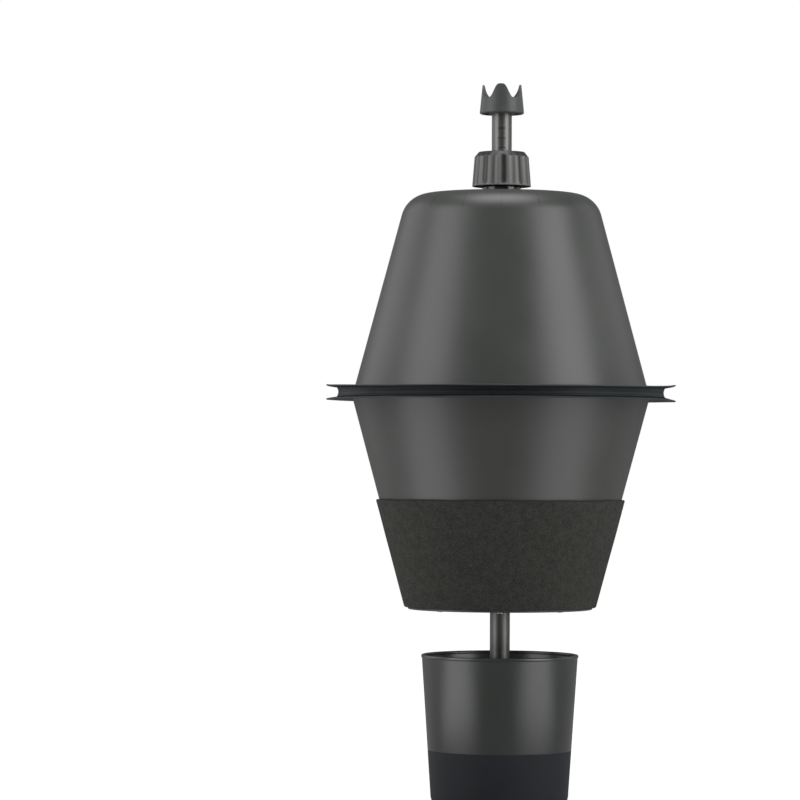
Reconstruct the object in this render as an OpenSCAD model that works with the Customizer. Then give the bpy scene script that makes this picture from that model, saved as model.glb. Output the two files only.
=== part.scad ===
// Practice mute for a large low brass instrument: a double-cone body that slides on a centre tube,
// with a cup below, a pronged outlet above and a knob that clamps the body at its height.
// Millimetres, +Z up, origin at the centre of the cup's foot, front towards -Y.

/* [Cup] */
// Height of the cup's rim above its foot
cup_height = 159.6; // [120:0.1:200]
// Outside diameter of the cup at its rim bead
cup_rim_d = 157; // [140:0.5:170]
// Lean of the cup's side from the vertical, in degrees
cup_lean = 3.77; // [1:0.01:6]
// Wall of the cup
cup_wall = 2.4; // [1.6:0.1:4]
// Radius of the bead round the cup's rim
cup_bead_r = 1.6; // [1.3:0.1:2.5]
// How far the rim bead stands proud of the side
cup_bead_proud = 0.5; // [0.1:0.1:1]
// Height of the rubber band round the cup's foot
band_h = 64.5; // [40:0.5:90]
// Thickness of the rubber band
band_t = 2.5; // [1.5:0.1:4]
// Radius of the rounded corner at the foot
foot_corner_r = 21; // [12:0.5:28]
// Width of the flat foot under the band
foot_ring_w = 9; // [5:0.5:15]

/* [Cup hub] */
// Diameter of the hub's flange on the cup's floor
hub_flange_d = 56; // [50:1:70]
// Thickness of the hub's flange
hub_flange_t = 3.5; // [2.5:0.5:6]
// Diameter of the hub's sleeve round the tube
hub_sleeve_d = 28; // [27:0.5:32]
// Height of the hub above the cup's floor
hub_h = 26; // [18:1:50]
// Number of hub screws
hub_screw_count = 4; // [3:1:6]
// Shank diameter of a hub screw
hub_screw_d = 4; // [3:0.5:5]
// Diameter of the circle on which the hub screws lie
hub_screw_pcd = 42; // [40:1:44]
// Shank diameter of a grub screw in the hub's sleeve
grub_d = 4; // [3:0.5:5]

/* [Sound tube] */
// Outside diameter of the sound tube
tube_d = 20; // [17:0.5:20.5]
// Wall of the sound tube
tube_wall = 1.5; // [1:0.1:2.5]
// Diameter of a sound port inside the chamber
port_d = 5.5; // [3:0.5:6]
// Height from one row of ports to the next
port_pitch = 60; // [30:1:70]
// Rows of sound ports
port_rows = 3; // [1:1:3]
// Height from one setting mark to the next
mark_pitch = 10; // [5:0.5:20]
// Drop from the crown's underside to the first setting mark
mark_drop = 14.7; // [8:0.1:20]
// Width of a setting mark across the tube
mark_w = 7.5; // [4:0.5:10]
// Height of a setting mark's line
mark_h = 0.8; // [0.4:0.1:1.5]
// Depth of a setting mark's line
mark_depth = 0.25; // [0.1:0.05:0.4]

/* [Crown outlet] */
// Diameter of the crown at its underside
crown_base_d = 44.6; // [40:0.1:50]
// Diameter of the crown across its tips
crown_tip_d = 38.9; // [36:0.1:44]
// Height of the crown from its underside to its tips
crown_h = 29.2; // [26:0.1:34]
// Number of prongs
prong_count = 4; // [3:1:6]
// Height of the prongs above the valleys between them
prong_h = 14.4; // [6:0.1:15]
// How slim the prongs are: higher is slimmer
prong_power = 1.4; // [1:0.05:2]
// Radius of the round bowl between the prongs
crown_bowl_r = 17.5; // [14:0.1:17.9]
// Drop from the tips to the centre of that bowl
crown_bowl_drop = 2; // [0:0.1:4]
// Depth of the socket in which the tube ends
crown_socket = 6; // [5:0.5:9]
// Radius of the crown's lower edge
crown_edge_r = 1.5; // [0.5:0.1:3]
// Depth of the hollow in the crown's underside
crown_hollow = 4; // [2:0.1:4.5]
// Wall left round that hollow
crown_skirt = 2; // [1.8:0.1:3]
// Wall left round the tube inside that hollow
crown_hub_wall = 2.5; // [1.5:0.1:4]
// Turn of the crown from the front, in degrees
crown_turn = -3; // [-45:1:45]

/* [Body shells] */
// Open height between the cup's rim and the body's base
body_gap = 45.2; // [44.5:0.1:60]
// Diameter of the lower shell at its base
base_d = 183.5; // [170:0.5:200]
// Height from the body's base to the seam
seam_h = 216.2; // [190:0.1:240]
// Diameter of the upper shell at the seam
upper_seam_d = 294.9; // [285:0.1:300]
// How far the lower shell stands out beyond the upper one at the seam
seam_step = 2.35; // [1:0.05:3]
// Lean of the upper shell from the vertical, in degrees
upper_lean = 15.04; // [12:0.01:17]
// Height from the seam to the flat top of the dome
dome_h = 199.8; // [180:0.1:220]
// Radius of the dome's shoulder
shoulder_r = 28.5; // [20:0.5:36]
// Fall of the dome's top towards the shoulder, in degrees
dome_fall = 1.5; // [0.5:0.1:4]
// Diameter of the flat pad in the middle of the dome
dome_pad_d = 50; // [48:1:60]
// Wall of both shells
shell_wall = 3; // [2:0.1:4]
// Width of the flanges beyond the upper shell's side
flange_w = 10.95; // [10.5:0.05:12]
// Thickness of each flange
flange_t = 4.2; // [3.8:0.1:5]
// Thickness of the seam gasket
seam_gasket_t = 0.8; // [0.5:0.1:1.2]
// Height of the lower shell's spigot inside the upper shell
spigot_h = 8; // [4:0.5:14]
// Gap round the spigot
spigot_clear = 0.2; // [0.1:0.05:0.4]
// Number of seam screws
seam_screw_count = 12; // [8:1:16]
// Shank diameter of a seam screw
seam_screw_d = 3; // [2.5:0.1:3]

/* [Dome ribs] */
// Number of ribs inside the dome's shoulder
rib_count = 16; // [8:1:24]
// Thickness of a rib
rib_t = 2; // [1:0.1:3]
// Distance from the axis at which a rib starts
rib_start_r = 64; // [63:1:72]
// Height by which a rib runs down the cone below the shoulder
rib_drop = 24; // [10:1:40]

/* [Bumper ring] */
// How far the bumper ring stands out beyond the flanges
bumper_reach = 16.1; // [14.5:0.1:18]
// Thickness of the ring where it meets the shells
bumper_t = 13.2; // [13:0.1:18]
// How far each lip flares at its tip
bumper_flare = 1.6; // [0:0.1:2]
// Thickness of a lip at its tip
bumper_lip_t = 1.2; // [1:0.1:2.5]
// Rubber left between the groove and the flanges
groove_web = 4.1; // [3:0.1:6]
// Radius of the groove's rounded bottom
groove_r = 8.2; // [6:0.1:10]
// Height of the groove where its bottom meets the lips
groove_h = 9.6; // [8:0.1:10]

/* [Foam band] */
// Thickness of the foam, measured across the band
foam_t = 3.4; // [2:0.1:6]
// Height of the foam band
foam_h = 107; // [60:0.1:140]
// Height of the bare rim below the foam
foam_rise = 2; // [1:0.1:8]
// Thickness of the glue film under the foam
foam_glue_t = 0.05; // [0.05:0.01:0.2]

/* [Bottom plate] */
// Thickness of the bottom plate
plate_t = 3; // [2:0.1:5]
// Depth of the plate inside the shell's rim
plate_recess = 1; // [0.5:0.1:3]
// Gap between the plate's edge and the shell
plate_clear = 0.3; // [0.2:0.05:0.6]
// Thickness of the plate's gasket
plate_gasket_t = 1; // [0.5:0.1:2]
// Width of the ledge that carries the plate
ledge_w = 11; // [10:0.5:16]
// Number of plate screws
plate_screw_count = 8; // [4:1:12]
// Shank diameter of a plate screw
plate_screw_d = 3; // [2.5:0.1:3.5]
// Diameter of the plate's centre boss
plate_boss_d = 37; // [36:0.5:44]
// Height of the plate's centre boss
plate_boss_h = 22; // [18:0.5:40]
// Height of the plate's stiffening ribs
plate_rib_h = 7; // [3:0.5:12]
// Number of the plate's stiffening ribs
plate_rib_count = 8; // [4:1:12]

/* [Tube guides] */
// Running clearance between the tube and its bushes, on the radius
bush_clear = 0.05; // [0.03:0.01:0.08]
// Wall of both guide bushes
bush_wall = 2; // [1.5:0.1:2.2]
// Height of the tube seal
seal_h = 4.5; // [3:0.1:6]
// Gap between the tube seal and its gland
seal_gap = 0.3; // [0.2:0.05:0.5]
// Diameter of the seal cap
seal_cap_d = 46; // [45:0.5:54]
// Thickness of the seal cap
seal_cap_t = 2; // [1.5:0.1:3]
// Gap between the tube and a part that it passes through freely
tube_free = 0.5; // [0.3:0.1:1]

/* [Collar] */
// Diameter of the collar that shows under the knob
collar_d = 38.4; // [38:0.1:42]
// Height of the collar above the dome, with its gasket
collar_h = 5.8; // [5:0.1:12]
// Thickness of the collar's gasket
collar_gasket_t = 1; // [0.5:0.1:2]
// Diameter of the collar's stem through the dome
stem_d = 32; // [31:0.1:33]
// Length of the collar's stem below the dome's top
stem_l = 20; // [19:0.5:30]
// Thread diameter of the collar inside the knob
thread_d = 34; // [33.6:0.1:35]
// Height of the threaded part above the collar
thread_l = 19; // [16:0.5:19.5]
// Thickness of the washer under the ring nut
collar_washer_t = 1.5; // [1:0.1:2.5]
// Height of the ring nut
collar_nut_h = 7; // [5:0.5:10]
// Size of the ring nut across its flats
collar_nut_flats = 42; // [40:0.5:44]

/* [Collet] */
// Bore clearance of the collet, on the radius
collet_clear = 0.03; // [0.02:0.01:0.05]
// Diameter of the collet's neck, which shows above the knob
collet_neck_d = 27.6; // [26:0.1:27.8]
// Height of the neck above the knob's top
collet_proud = 0.8; // [0.6:0.1:3]
// Diameter of the collet's shoulder
collet_shoulder_d = 31; // [30:0.1:31.4]
// Height of the collet's tapered nose
collet_nose_h = 12; // [8:0.5:13]
// Thickness of the collet's nose at its lower end
collet_tip_wall = 1.6; // [1.2:0.1:2]
// Number of slots in the collet
slot_count = 4; // [3:1:8]
// Width of a slot
slot_w = 1.2; // [0.6:0.1:2]

/* [Knob] */
// Diameter of the knob at its foot
knob_base_d = 59; // [56:0.1:64]
// Diameter of the knob below its chamfer
knob_top_d = 54.4; // [52:0.1:58]
// Diameter of the knob's flat top
knob_face_d = 46; // [42:0.1:50]
// Height of the knob
knob_h = 34.5; // [34:0.5:44]
// Height of the chamfer at the top
knob_chamfer_h = 5; // [3:0.1:7]
// Height of the smooth lip below the flutes
knob_lip_h = 2; // [1:0.1:9]
// Gap between the collar's top and the knob's foot
knob_gap = 0.4; // [0.3:0.1:1]
// Thickness of the knob's top
knob_roof_t = 9; // [6:0.1:10]
// Number of flutes
flute_count = 18; // [12:1:24]
// Radius of a flute
flute_r = 3.8; // [3:0.1:6]
// Depth of a flute
flute_depth = 1; // [0.5:0.1:1.4]
// Turn of the flutes from the front, in degrees
flute_turn = 3.8; // [-10:0.1:10]
// Depth of the hollow under the knob
knob_hollow = 6; // [3:0.5:10]
// Radial wall of the threaded insert
insert_wall = 2.4; // [2:0.1:3]
// Height of the threaded insert
insert_h = 16; // [12:0.5:17]
// Clearance of the thread, on the radius
thread_clear = 0.08; // [0.05:0.01:0.1]
// Thickness of the thrust washer
thrust_t = 1.4; // [1:0.1:1.8]
// Thickness of the retaining clip
clip_t = 1; // [0.8:0.1:1.4]
// Gap round the thrust washer
thrust_gap = 0.3; // [0.2:0.05:0.4]

/* [Pickup] */
// Distance of the jack from the axis
jack_r = 48; // [47:0.5:52]
// Diameter of the jack's threaded bushing
bushing_d = 6; // [5.5:0.1:7]
// Diameter of the jack's bore
jack_bore_d = 3.6; // [3.6:0.05:4]
// Depth of the jack's bore
jack_depth = 14; // [12:0.5:14.5]
// Height of the bushing above the dome
bushing_proud = 2.6; // [2.2:0.1:5]
// Diameter of the round nut on the jack
jack_nut_d = 9; // [8:0.1:12]
// Height of the round nut
jack_nut_h = 2; // [1.5:0.1:2.1]
// Width of the jack's housing
jack_box_w = 9; // [8:0.5:12]
// Height of the jack's housing
jack_box_h = 9; // [8:0.5:12]
// Width of the pickup board
board_w = 20; // [18:0.5:24]
// Length of the pickup board
board_l = 30; // [28:0.5:34]
// Thickness of the pickup board
board_t = 1.6; // [1:0.1:2]
// Shank diameter of a board screw
board_screw_d = 2; // [1.5:0.1:2.5]
// Diameter of the microphone capsule
mic_d = 9.7; // [6:0.1:10]
// Height of the microphone capsule
mic_h = 5; // [3:0.1:7]
// Wall of the rubber boot round the capsule
boot_wall = 1.5; // [1:0.1:2.5]

/* [Travel] */
// How far the body slides down from where it stands
slide_down = 43; // [20:1:44]
// How far the body slides up from where it stands
slide_up = 35.4; // [10:0.2:60]
// How far the knob rises when it is undone
knob_rise = 2; // [1:0.1:2.5]

/* [Hidden] */
$fn = 96;
arc_steps = 14;
cut = 1;
screw_clear = 0.2;
turn = 360;
front = -90;
diagonal = 45;

// Size of a screw's head as a share of its shank
head_ratio = 1.9;
head_h_ratio = 0.6;

// Radii of the tube
tube_r = tube_d / 2;
bore_r = tube_r - tube_wall;

// The cup's side is a straight line that leans outwards, and its foot has one rounded corner
side_top_r = cup_rim_d / 2 - cup_bead_proud;
corner_c = [cup_side(foot_corner_r, foot_corner_r), foot_corner_r];
cup_floor_z = band_t + cup_wall;
foot_inner_r = corner_c[0] - foot_ring_w;
step_h = 4;
grub_z = cup_floor_z + hub_h - grub_d * 1.5;
grub_sunk = 0.6;

// Heights of the body, each from the one below it
base_z = cup_height + body_gap;
seam_z = base_z + seam_h;
dome_z = seam_z + dome_h;
collar_top_z = dome_z + collar_h;
knob_z = collar_top_z + knob_gap;
knob_top_z = knob_z + knob_h;
roof_z = knob_top_z - knob_roof_t;
collet_top_z = knob_top_z + collet_proud;
crown_z = knob_top_z + knob_rise + slide_up + collet_proud;

// Lean of the lower shell, which runs from its base to just outside the upper shell
lower_lean = atan((upper_seam_d / 2 + seam_step - base_d / 2) / seam_h);

// Lower shell: spigot inside the upper one, haunch under it, ledge and screw bosses at the foot
spigot_wall = 2.4;
haunch_h = 16;
ledge_t = 3;
screw_boss_h = 7;

// Seam: each flange lies half a gasket from the seam's plane
half_gasket = seam_gasket_t / 2;
flange_reach = half_gasket + flange_t;
flange_r = upper_seam_d / 2 + flange_w;
bumper_r = flange_r + bumper_reach;
seam_screw_r = flange_r - seam_screw_d * 1.6;
seam_head_d = seam_screw_d * 1.85;
seam_head_h = seam_screw_d * head_h_ratio;
seam_nut_d = seam_screw_d * 2.1;
seam_nut_h = seam_screw_d * 0.7;

// Shoulder of the dome, tangent to the cone and to the dome's top
pad_r = dome_pad_d / 2;
cone_normal = [cos(upper_lean), sin(upper_lean)];
top_normal = [sin(dome_fall), cos(dome_fall)];
cone_foot = [upper_seam_d / 2, seam_z];
pad_edge = [pad_r, dome_z];
shoulder_c = meet(cone_normal, cone_normal * cone_foot - shoulder_r,
    top_normal, top_normal * pad_edge - shoulder_r);
top_end = 90 - dome_fall;

// Bottom plate and its ledge
plate_z = base_z + plate_recess;
plate_top_z = plate_z + plate_t;
ledge_z = plate_top_z + plate_gasket_t;
plate_r = lower_inner(plate_z) - plate_clear;
ledge_r = plate_r - ledge_w;
plate_screw_r = plate_r - ledge_w / 2;
plate_head_d = plate_screw_d * head_ratio;
plate_head_h = plate_screw_d * head_h_ratio;
plate_screw_l = 12;
plate_rib_t = 2;
screw_boss_d = plate_screw_d + 5;
gland_r = tube_r + bush_clear + bush_wall;
seal_top_z = plate_z + seal_h + seal_gap * 2;
boss_top_z = plate_z + plate_boss_h;
cap_screw_r = (plate_boss_d / 2 + gland_r) / 2;
cap_screw_d = 2.5;
cap_screw_l = 9;
cap_head_h = 1.2;

// Clamp: nose of the collet in the collar, then washer and clip under the knob's roof
nose_top_z = collar_top_z + thread_l;
nose_z = nose_top_z - collet_nose_h;
nose_top_r = collet_shoulder_d / 2 - 1.2;
nose_gap = 0.1;
shoulder_top_z = roof_z - thrust_t - thrust_gap * 2;
clip_z = shoulder_top_z - clip_t - thrust_gap;
cavity_r = thread_d / 2 + thread_clear + insert_wall;
neck_hole_r = collet_neck_d / 2 + 0.4;
insert_z = knob_z + 2;
clip_inner_r = collet_shoulder_d / 2 + 0.5;
clip_groove = 0.8;
chamfer_z = knob_h - knob_chamfer_h;

// Collar seats
dome_boss = 2;
boss_margin = 5;
under_dome_z = dome_z - shell_wall - dome_boss;
washer_z = under_dome_z - collar_washer_t;
nut_z = washer_z - collar_nut_h;
stem_z = dome_z - stem_l;
bush_flange_t = 1.5;
bush_flange_w = 2.5;

// Pickup: a flat spot on the dome, a seat under it, then housing, board, capsule
spot_d = jack_nut_d + 5;
spot_z = dome_line(jack_r + spot_d / 2) - 0.2;
jack_seat_z = spot_z - shell_wall - 0.5;
board_z = jack_seat_z - jack_box_h - board_t;
board_hole_x = board_w / 2 - 3.5;
board_hole_y = jack_r - board_l / 2 + 1.5;
board_y = jack_r - board_l * 0.6;
board_post_d = board_screw_d + 3;
board_screw_reach = 5;

// Setting marks: as many as can ever show between the knob and the crown
mark_top_z = crown_z - mark_drop;
mark_count = floor((mark_top_z - collet_top_z + slide_down) / mark_pitch) + 1;
mark_angle = 2 * asin(mark_w / tube_d);

// Radius of the cup's side at a height, moved in by a depth square to the side
function cup_side(z, depth = 0) =
    side_top_r - (cup_height - z) * tan(cup_lean) - depth / cos(cup_lean);

// Radius of the lower shell at a height, outside and inside
function lower_outer(z) = base_d / 2 + (z - base_z) * tan(lower_lean);
function lower_inner(z) = lower_outer(z) - shell_wall / cos(lower_lean);

// Radius of the upper shell at a height, outside and inside
function upper_outer(z) = upper_seam_d / 2 - (z - seam_z) * tan(upper_lean);
function upper_inner(z) = upper_outer(z) - shell_wall / cos(upper_lean);

// Height of the dome's outer top at a radius
function dome_line(r) = dome_z - (r - pad_r) * tan(dome_fall);

// The point where two lines meet, each given by its normal and its distance from the origin
function meet(n1, d1, n2, d2) =
    let(det = n1[0] * n2[1] - n1[1] * n2[0])
    [(d1 * n2[1] - d2 * n1[1]) / det, (n1[0] * d2 - n2[0] * d1) / det];

// Points along an arc
function arc(c, r, from, to) =
    [for (i = [0:arc_steps]) let(a = from + (to - from) * i / arc_steps)
        c + r * [cos(a), sin(a)]];

// Height of the crown's edge above the valley, at a distance across the valley
function prong_edge(u) =
    prong_h * pow(pow(sin(prong_count / 2 * asin(u / (crown_tip_d / 2))), 2), prong_power);

// Copies of a shape, evenly spaced round the axis at a radius
module ring_of(count, r, from = 0) {
    for (i = [0:count - 1])
        rotate(from + i * turn / count)
            translate([r, 0, 0])
                children();
}

// A plain ring
module ring(outer_r, inner_r, z, h) {
    translate([0, 0, z])
        difference() {
            cylinder(r = outer_r, h = h);
            translate([0, 0, -cut])
                cylinder(r = inner_r, h = h + 2 * cut);
        }
}

// A cross-recessed screw: its head stands on z = 0 and its shank runs down
module screw(d, l, head_d, head_h) {
    slot = head_d * 0.14;
    reach = head_d * 0.6;
    difference() {
        union() {
            translate([0, 0, -l])
                cylinder(d = d, h = l);
            cylinder(d = head_d, h = head_h);
        }
        for (a = [0, 90])
            rotate(a)
                translate([-reach / 2, -slot / 2, head_h * 0.4])
                    cube([reach, slot, head_h]);
    }
}

module sound_tube() {
    color([0.47, 0.47, 0.46])
        difference() {
            translate([0, 0, band_t])
                cylinder(r = tube_r, h = crown_z + crown_socket - band_t);
            translate([0, 0, band_t - cut])
                cylinder(r = bore_r, h = crown_z + crown_socket + 2 * cut);
            for (row = [0:port_rows - 1])
                translate([0, 0, seam_z + (row - (port_rows - 1) / 2) * port_pitch])
                    rotate([90, 0, row * 90])
                        cylinder(d = port_d, h = tube_d + 2 * cut, center = true);
            for (i = [0:mark_count - 1])
                rotate(front - mark_angle / 2)
                    rotate_extrude(angle = mark_angle)
                        translate([tube_r - mark_depth, mark_top_z - i * mark_pitch - mark_h / 2])
                            square([cut, mark_h]);
            for (a = [0, 180])
                rotate(a)
                    translate([0, 0, grub_z])
                        rotate([0, 90, 0])
                            cylinder(d = grub_d, h = tube_d);
        }
}

// A cone with a round bowl in its top, whose edge is cut down between the prongs
module crown_outlet() {
    valley = crown_h - prong_h;
    hub_r = tube_r + crown_hub_wall;
    skirt_r = crown_base_d / 2 - crown_skirt;
    half = crown_tip_d / 2 * sin(180 / prong_count);
    steps = 24;
    color([0.33, 0.34, 0.34])
        translate([0, 0, crown_z])
            rotate(crown_turn)
                difference() {
                    rotate_extrude()
                        polygon(concat(
                            [[tube_r, 0], [hub_r, 0], [hub_r, crown_hollow]],
                            [[skirt_r, crown_hollow], [skirt_r, 0]],
                            arc([crown_base_d / 2 - crown_edge_r, crown_edge_r], crown_edge_r, -90, -4),
                            [[crown_tip_d / 2, crown_h]],
                            arc([0, crown_h - crown_bowl_drop], crown_bowl_r,
                                asin(crown_bowl_drop / crown_bowl_r), -acos(bore_r / crown_bowl_r)),
                            [[bore_r, crown_socket], [tube_r, crown_socket]]));
                    ring_of(prong_count, 0, front + 180 / prong_count)
                        rotate([90, 0, 90])
                            linear_extrude(crown_base_d)
                                polygon(concat(
                                    [[half, crown_h + cut], [-half, crown_h + cut]],
                                    [for (i = [0:steps]) let(u = half * (2 * i / steps - 1))
                                        [u, valley + prong_edge(u)]]));
                }
}

module cup_shell() {
    bead_c = [cup_rim_d / 2 - cup_bead_r, cup_height - cup_bead_r];
    color([0.31, 0.32, 0.31])
        difference() {
            rotate_extrude() {
                polygon(concat(
                    [[tube_r, band_t]],
                    arc(corner_c, foot_corner_r - band_t, -90, -cup_lean),
                    [[cup_side(band_h, band_t), band_h], [cup_side(band_h), band_h]],
                    [[cup_side(bead_c[1]), bead_c[1]], [cup_side(bead_c[1], cup_wall), bead_c[1]]],
                    [[cup_side(band_h + 2 * step_h, cup_wall), band_h + 2 * step_h]],
                    [[cup_side(band_h + step_h, band_t + cup_wall), band_h + step_h]],
                    arc(corner_c, foot_corner_r - band_t - cup_wall, -cup_lean, -90),
                    [[tube_r, cup_floor_z]]));
                translate(bead_c)
                    circle(r = cup_bead_r);
            }
            ring_of(hub_screw_count, hub_screw_pcd / 2, diagonal)
                cylinder(d = hub_screw_d + 2 * screw_clear, h = cup_floor_z + cut);
        }
}

module cup_band() {
    color([0.16, 0.17, 0.19])
        rotate_extrude()
            polygon(concat(
                [[foot_inner_r, 0]],
                arc(corner_c, foot_corner_r, -90, -cup_lean),
                [[cup_side(band_h), band_h], [cup_side(band_h, band_t), band_h]],
                arc(corner_c, foot_corner_r - band_t, -cup_lean, -90),
                [[foot_inner_r, band_t]]));
}

module cup_hub() {
    color([0.24, 0.24, 0.24])
        difference() {
            rotate_extrude()
                polygon([[tube_r, cup_floor_z], [hub_flange_d / 2, cup_floor_z],
                    [hub_flange_d / 2, cup_floor_z + hub_flange_t],
                    [hub_sleeve_d / 2 + 1, cup_floor_z + hub_flange_t + 1],
                    [hub_sleeve_d / 2, cup_floor_z + hub_h - 1],
                    [hub_sleeve_d / 2 - 1, cup_floor_z + hub_h], [tube_r, cup_floor_z + hub_h]]);
            ring_of(hub_screw_count, hub_screw_pcd / 2, diagonal)
                translate([0, 0, cup_floor_z - cut])
                    cylinder(d = hub_screw_d, h = hub_flange_t + 2 * cut);
            for (a = [0, 180])
                rotate(a)
                    translate([0, 0, grub_z])
                        rotate([0, 90, 0])
                            cylinder(d = grub_d, h = hub_sleeve_d);
        }
}

module hub_screws() {
    head_h = band_t - 0.5;
    color([0.6, 0.6, 0.58])
        ring_of(hub_screw_count, hub_screw_pcd / 2, diagonal)
            translate([0, 0, band_t])
                rotate([180, 0, 0])
                    screw(hub_screw_d, cup_wall + hub_flange_t, hub_screw_d * head_ratio, head_h);
}

module hub_grub_screws() {
    socket = grub_d * 0.5;
    length = hub_sleeve_d / 2 - tube_r + tube_wall - grub_sunk;
    color([0.55, 0.55, 0.54])
        for (a = [0, 180])
            rotate(a)
                translate([bore_r, 0, grub_z])
                    rotate([0, 90, 0])
                        difference() {
                            cylinder(d = grub_d, h = length);
                            translate([0, 0, length - socket])
                                cylinder(d = socket, h = socket + cut, $fn = 6);
                        }
}

module upper_shell() {
    inner_r = shoulder_r - shell_wall;
    boss_r = collar_nut_flats / 2 + boss_margin;
    roof_in = dome_line(boss_r) - shell_wall;
    color([0.31, 0.32, 0.31])
        difference() {
            union() {
                rotate_extrude()
                    polygon(concat(
                        [[upper_inner(seam_z + half_gasket), seam_z + half_gasket]],
                        [[flange_r, seam_z + half_gasket], [flange_r, seam_z + flange_reach]],
                        [[upper_outer(seam_z + flange_reach), seam_z + flange_reach]],
                        arc(shoulder_c, shoulder_r, upper_lean, top_end),
                        [pad_edge, [stem_d / 2, dome_z], [stem_d / 2, under_dome_z]],
                        [[boss_r, under_dome_z], [boss_r + dome_boss, roof_in]],
                        arc(shoulder_c, inner_r, top_end, upper_lean)));
                ring_of(rib_count, 0, front)
                    dome_rib();
                translate([0, jack_r, jack_seat_z])
                    cylinder(d = spot_d, h = spot_z - jack_seat_z - 0.5);
                for (side = [-1, 1])
                    translate([side * board_hole_x, board_hole_y, board_z + board_t])
                        cylinder(d = board_post_d, h = jack_seat_z - board_z + 1);
            }
            translate([0, jack_r, spot_z])
                cylinder(d = spot_d, h = shell_wall);
            translate([0, jack_r, jack_seat_z - cut])
                cylinder(d = bushing_d, h = shell_wall + 2 * cut);
            for (side = [-1, 1])
                translate([side * board_hole_x, board_hole_y, board_z])
                    cylinder(d = board_screw_d, h = board_t + board_screw_reach + 1);
            ring_of(seam_screw_count, seam_screw_r) {
                translate([0, 0, seam_z])
                    cylinder(d = seam_screw_d + 2 * screw_clear, h = flange_reach);
                translate([0, 0, seam_z + flange_reach - seam_nut_h])
                    cylinder(d = seam_nut_d, h = seam_nut_h + cut, $fn = 6);
            }
        }
}

// A gusset that follows the inside of the shoulder, sunk a little into the wall
module dome_rib() {
    sunk = 0.6;
    low = [upper_inner(shoulder_c[1] - rib_drop) + sunk, shoulder_c[1] - rib_drop];
    start = [rib_start_r, dome_line(rib_start_r) - shell_wall + sunk];
    translate([0, rib_t / 2, 0])
        rotate([90, 0, 0])
            linear_extrude(rib_t)
                polygon(concat([low],
                    arc(shoulder_c, shoulder_r - shell_wall + sunk, upper_lean, top_end), [start]));
}

module lower_shell() {
    spigot_in = upper_inner(seam_z + spigot_h) - spigot_clear - spigot_wall;
    spigot_top = seam_z + spigot_h;
    haunch_z = seam_z - haunch_h;
    boss_z = ledge_z + ledge_t;
    color([0.31, 0.32, 0.31])
        difference() {
            union() {
                rotate_extrude()
                    polygon([[lower_inner(base_z), base_z], [base_d / 2, base_z],
                        [lower_outer(seam_z - flange_reach), seam_z - flange_reach],
                        [flange_r, seam_z - flange_reach], [flange_r, seam_z - half_gasket],
                        [upper_inner(seam_z) - spigot_clear, seam_z - half_gasket],
                        [upper_inner(spigot_top) - spigot_clear, spigot_top],
                        [spigot_in, spigot_top], [spigot_in, seam_z - haunch_h / 4],
                        [lower_inner(haunch_z), haunch_z], [lower_inner(boss_z), boss_z],
                        [ledge_r, boss_z], [ledge_r, ledge_z], [lower_inner(ledge_z), ledge_z]]);
                ring_of(plate_screw_count, plate_screw_r)
                    translate([0, 0, boss_z - 0.5])
                        cylinder(d = screw_boss_d, h = screw_boss_h);
            }
            ring_of(plate_screw_count, plate_screw_r)
                translate([0, 0, ledge_z - cut])
                    cylinder(d = plate_screw_d, h = plate_screw_l - plate_t);
            ring_of(seam_screw_count, seam_screw_r) {
                translate([0, 0, seam_z - flange_reach - cut])
                    cylinder(d = seam_screw_d + 2 * screw_clear, h = flange_reach + 2 * cut);
                translate([0, 0, seam_z - flange_reach - cut])
                    cylinder(d = seam_head_d, h = seam_head_h + cut);
            }
        }
}

module seam_gasket() {
    color([0.1, 0.1, 0.1])
        difference() {
            ring(flange_r, upper_outer(seam_z), seam_z - half_gasket, seam_gasket_t);
            ring_of(seam_screw_count, seam_screw_r)
                translate([0, 0, seam_z - half_gasket - cut])
                    cylinder(d = seam_screw_d + 2 * screw_clear, h = seam_gasket_t + 2 * cut);
        }
}

module seam_screws() {
    seat_z = seam_z - flange_reach + seam_head_h;
    color([0.6, 0.6, 0.58])
        ring_of(seam_screw_count, seam_screw_r)
            translate([0, 0, seat_z])
                rotate([180, 0, 0])
                    screw(seam_screw_d, seam_z + flange_reach - seat_z, seam_head_d, seam_head_h);
}

module seam_nuts() {
    color([0.6, 0.6, 0.58])
        ring_of(seam_screw_count, seam_screw_r)
            translate([0, 0, seam_z + flange_reach - seam_nut_h])
                difference() {
                    cylinder(d = seam_nut_d, h = seam_nut_h, $fn = 6);
                    translate([0, 0, -cut])
                        cylinder(d = seam_screw_d, h = seam_nut_h + 2 * cut);
                }
}

// A channel that grips both flanges, with a hollow edge that ends in two thin lips
module bumper_ring() {
    half = bumper_t / 2;
    tip = [bumper_r - bumper_lip_t / 2, half + bumper_flare - bumper_lip_t / 2];
    groove_c = [flange_r + groove_web + groove_r, 0];
    sweep = asin(groove_h / 2 / groove_r);
    color([0.13, 0.14, 0.14])
        translate([0, 0, seam_z])
            rotate_extrude()
                polygon(concat(
                    [[lower_outer(seam_z - half), -half], [flange_r + groove_web, -half]],
                    arc([tip[0], -tip[1]], bumper_lip_t / 2, -90, 70),
                    arc(groove_c, groove_r, 180 + sweep, 180 - sweep),
                    arc(tip, bumper_lip_t / 2, -70, 90),
                    [[flange_r + groove_web, half], [upper_outer(seam_z + half), half]],
                    [[upper_outer(seam_z + flange_reach), flange_reach], [flange_r, flange_reach]],
                    [[flange_r, -flange_reach]],
                    [[lower_outer(seam_z - flange_reach), -flange_reach]]));
}

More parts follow.
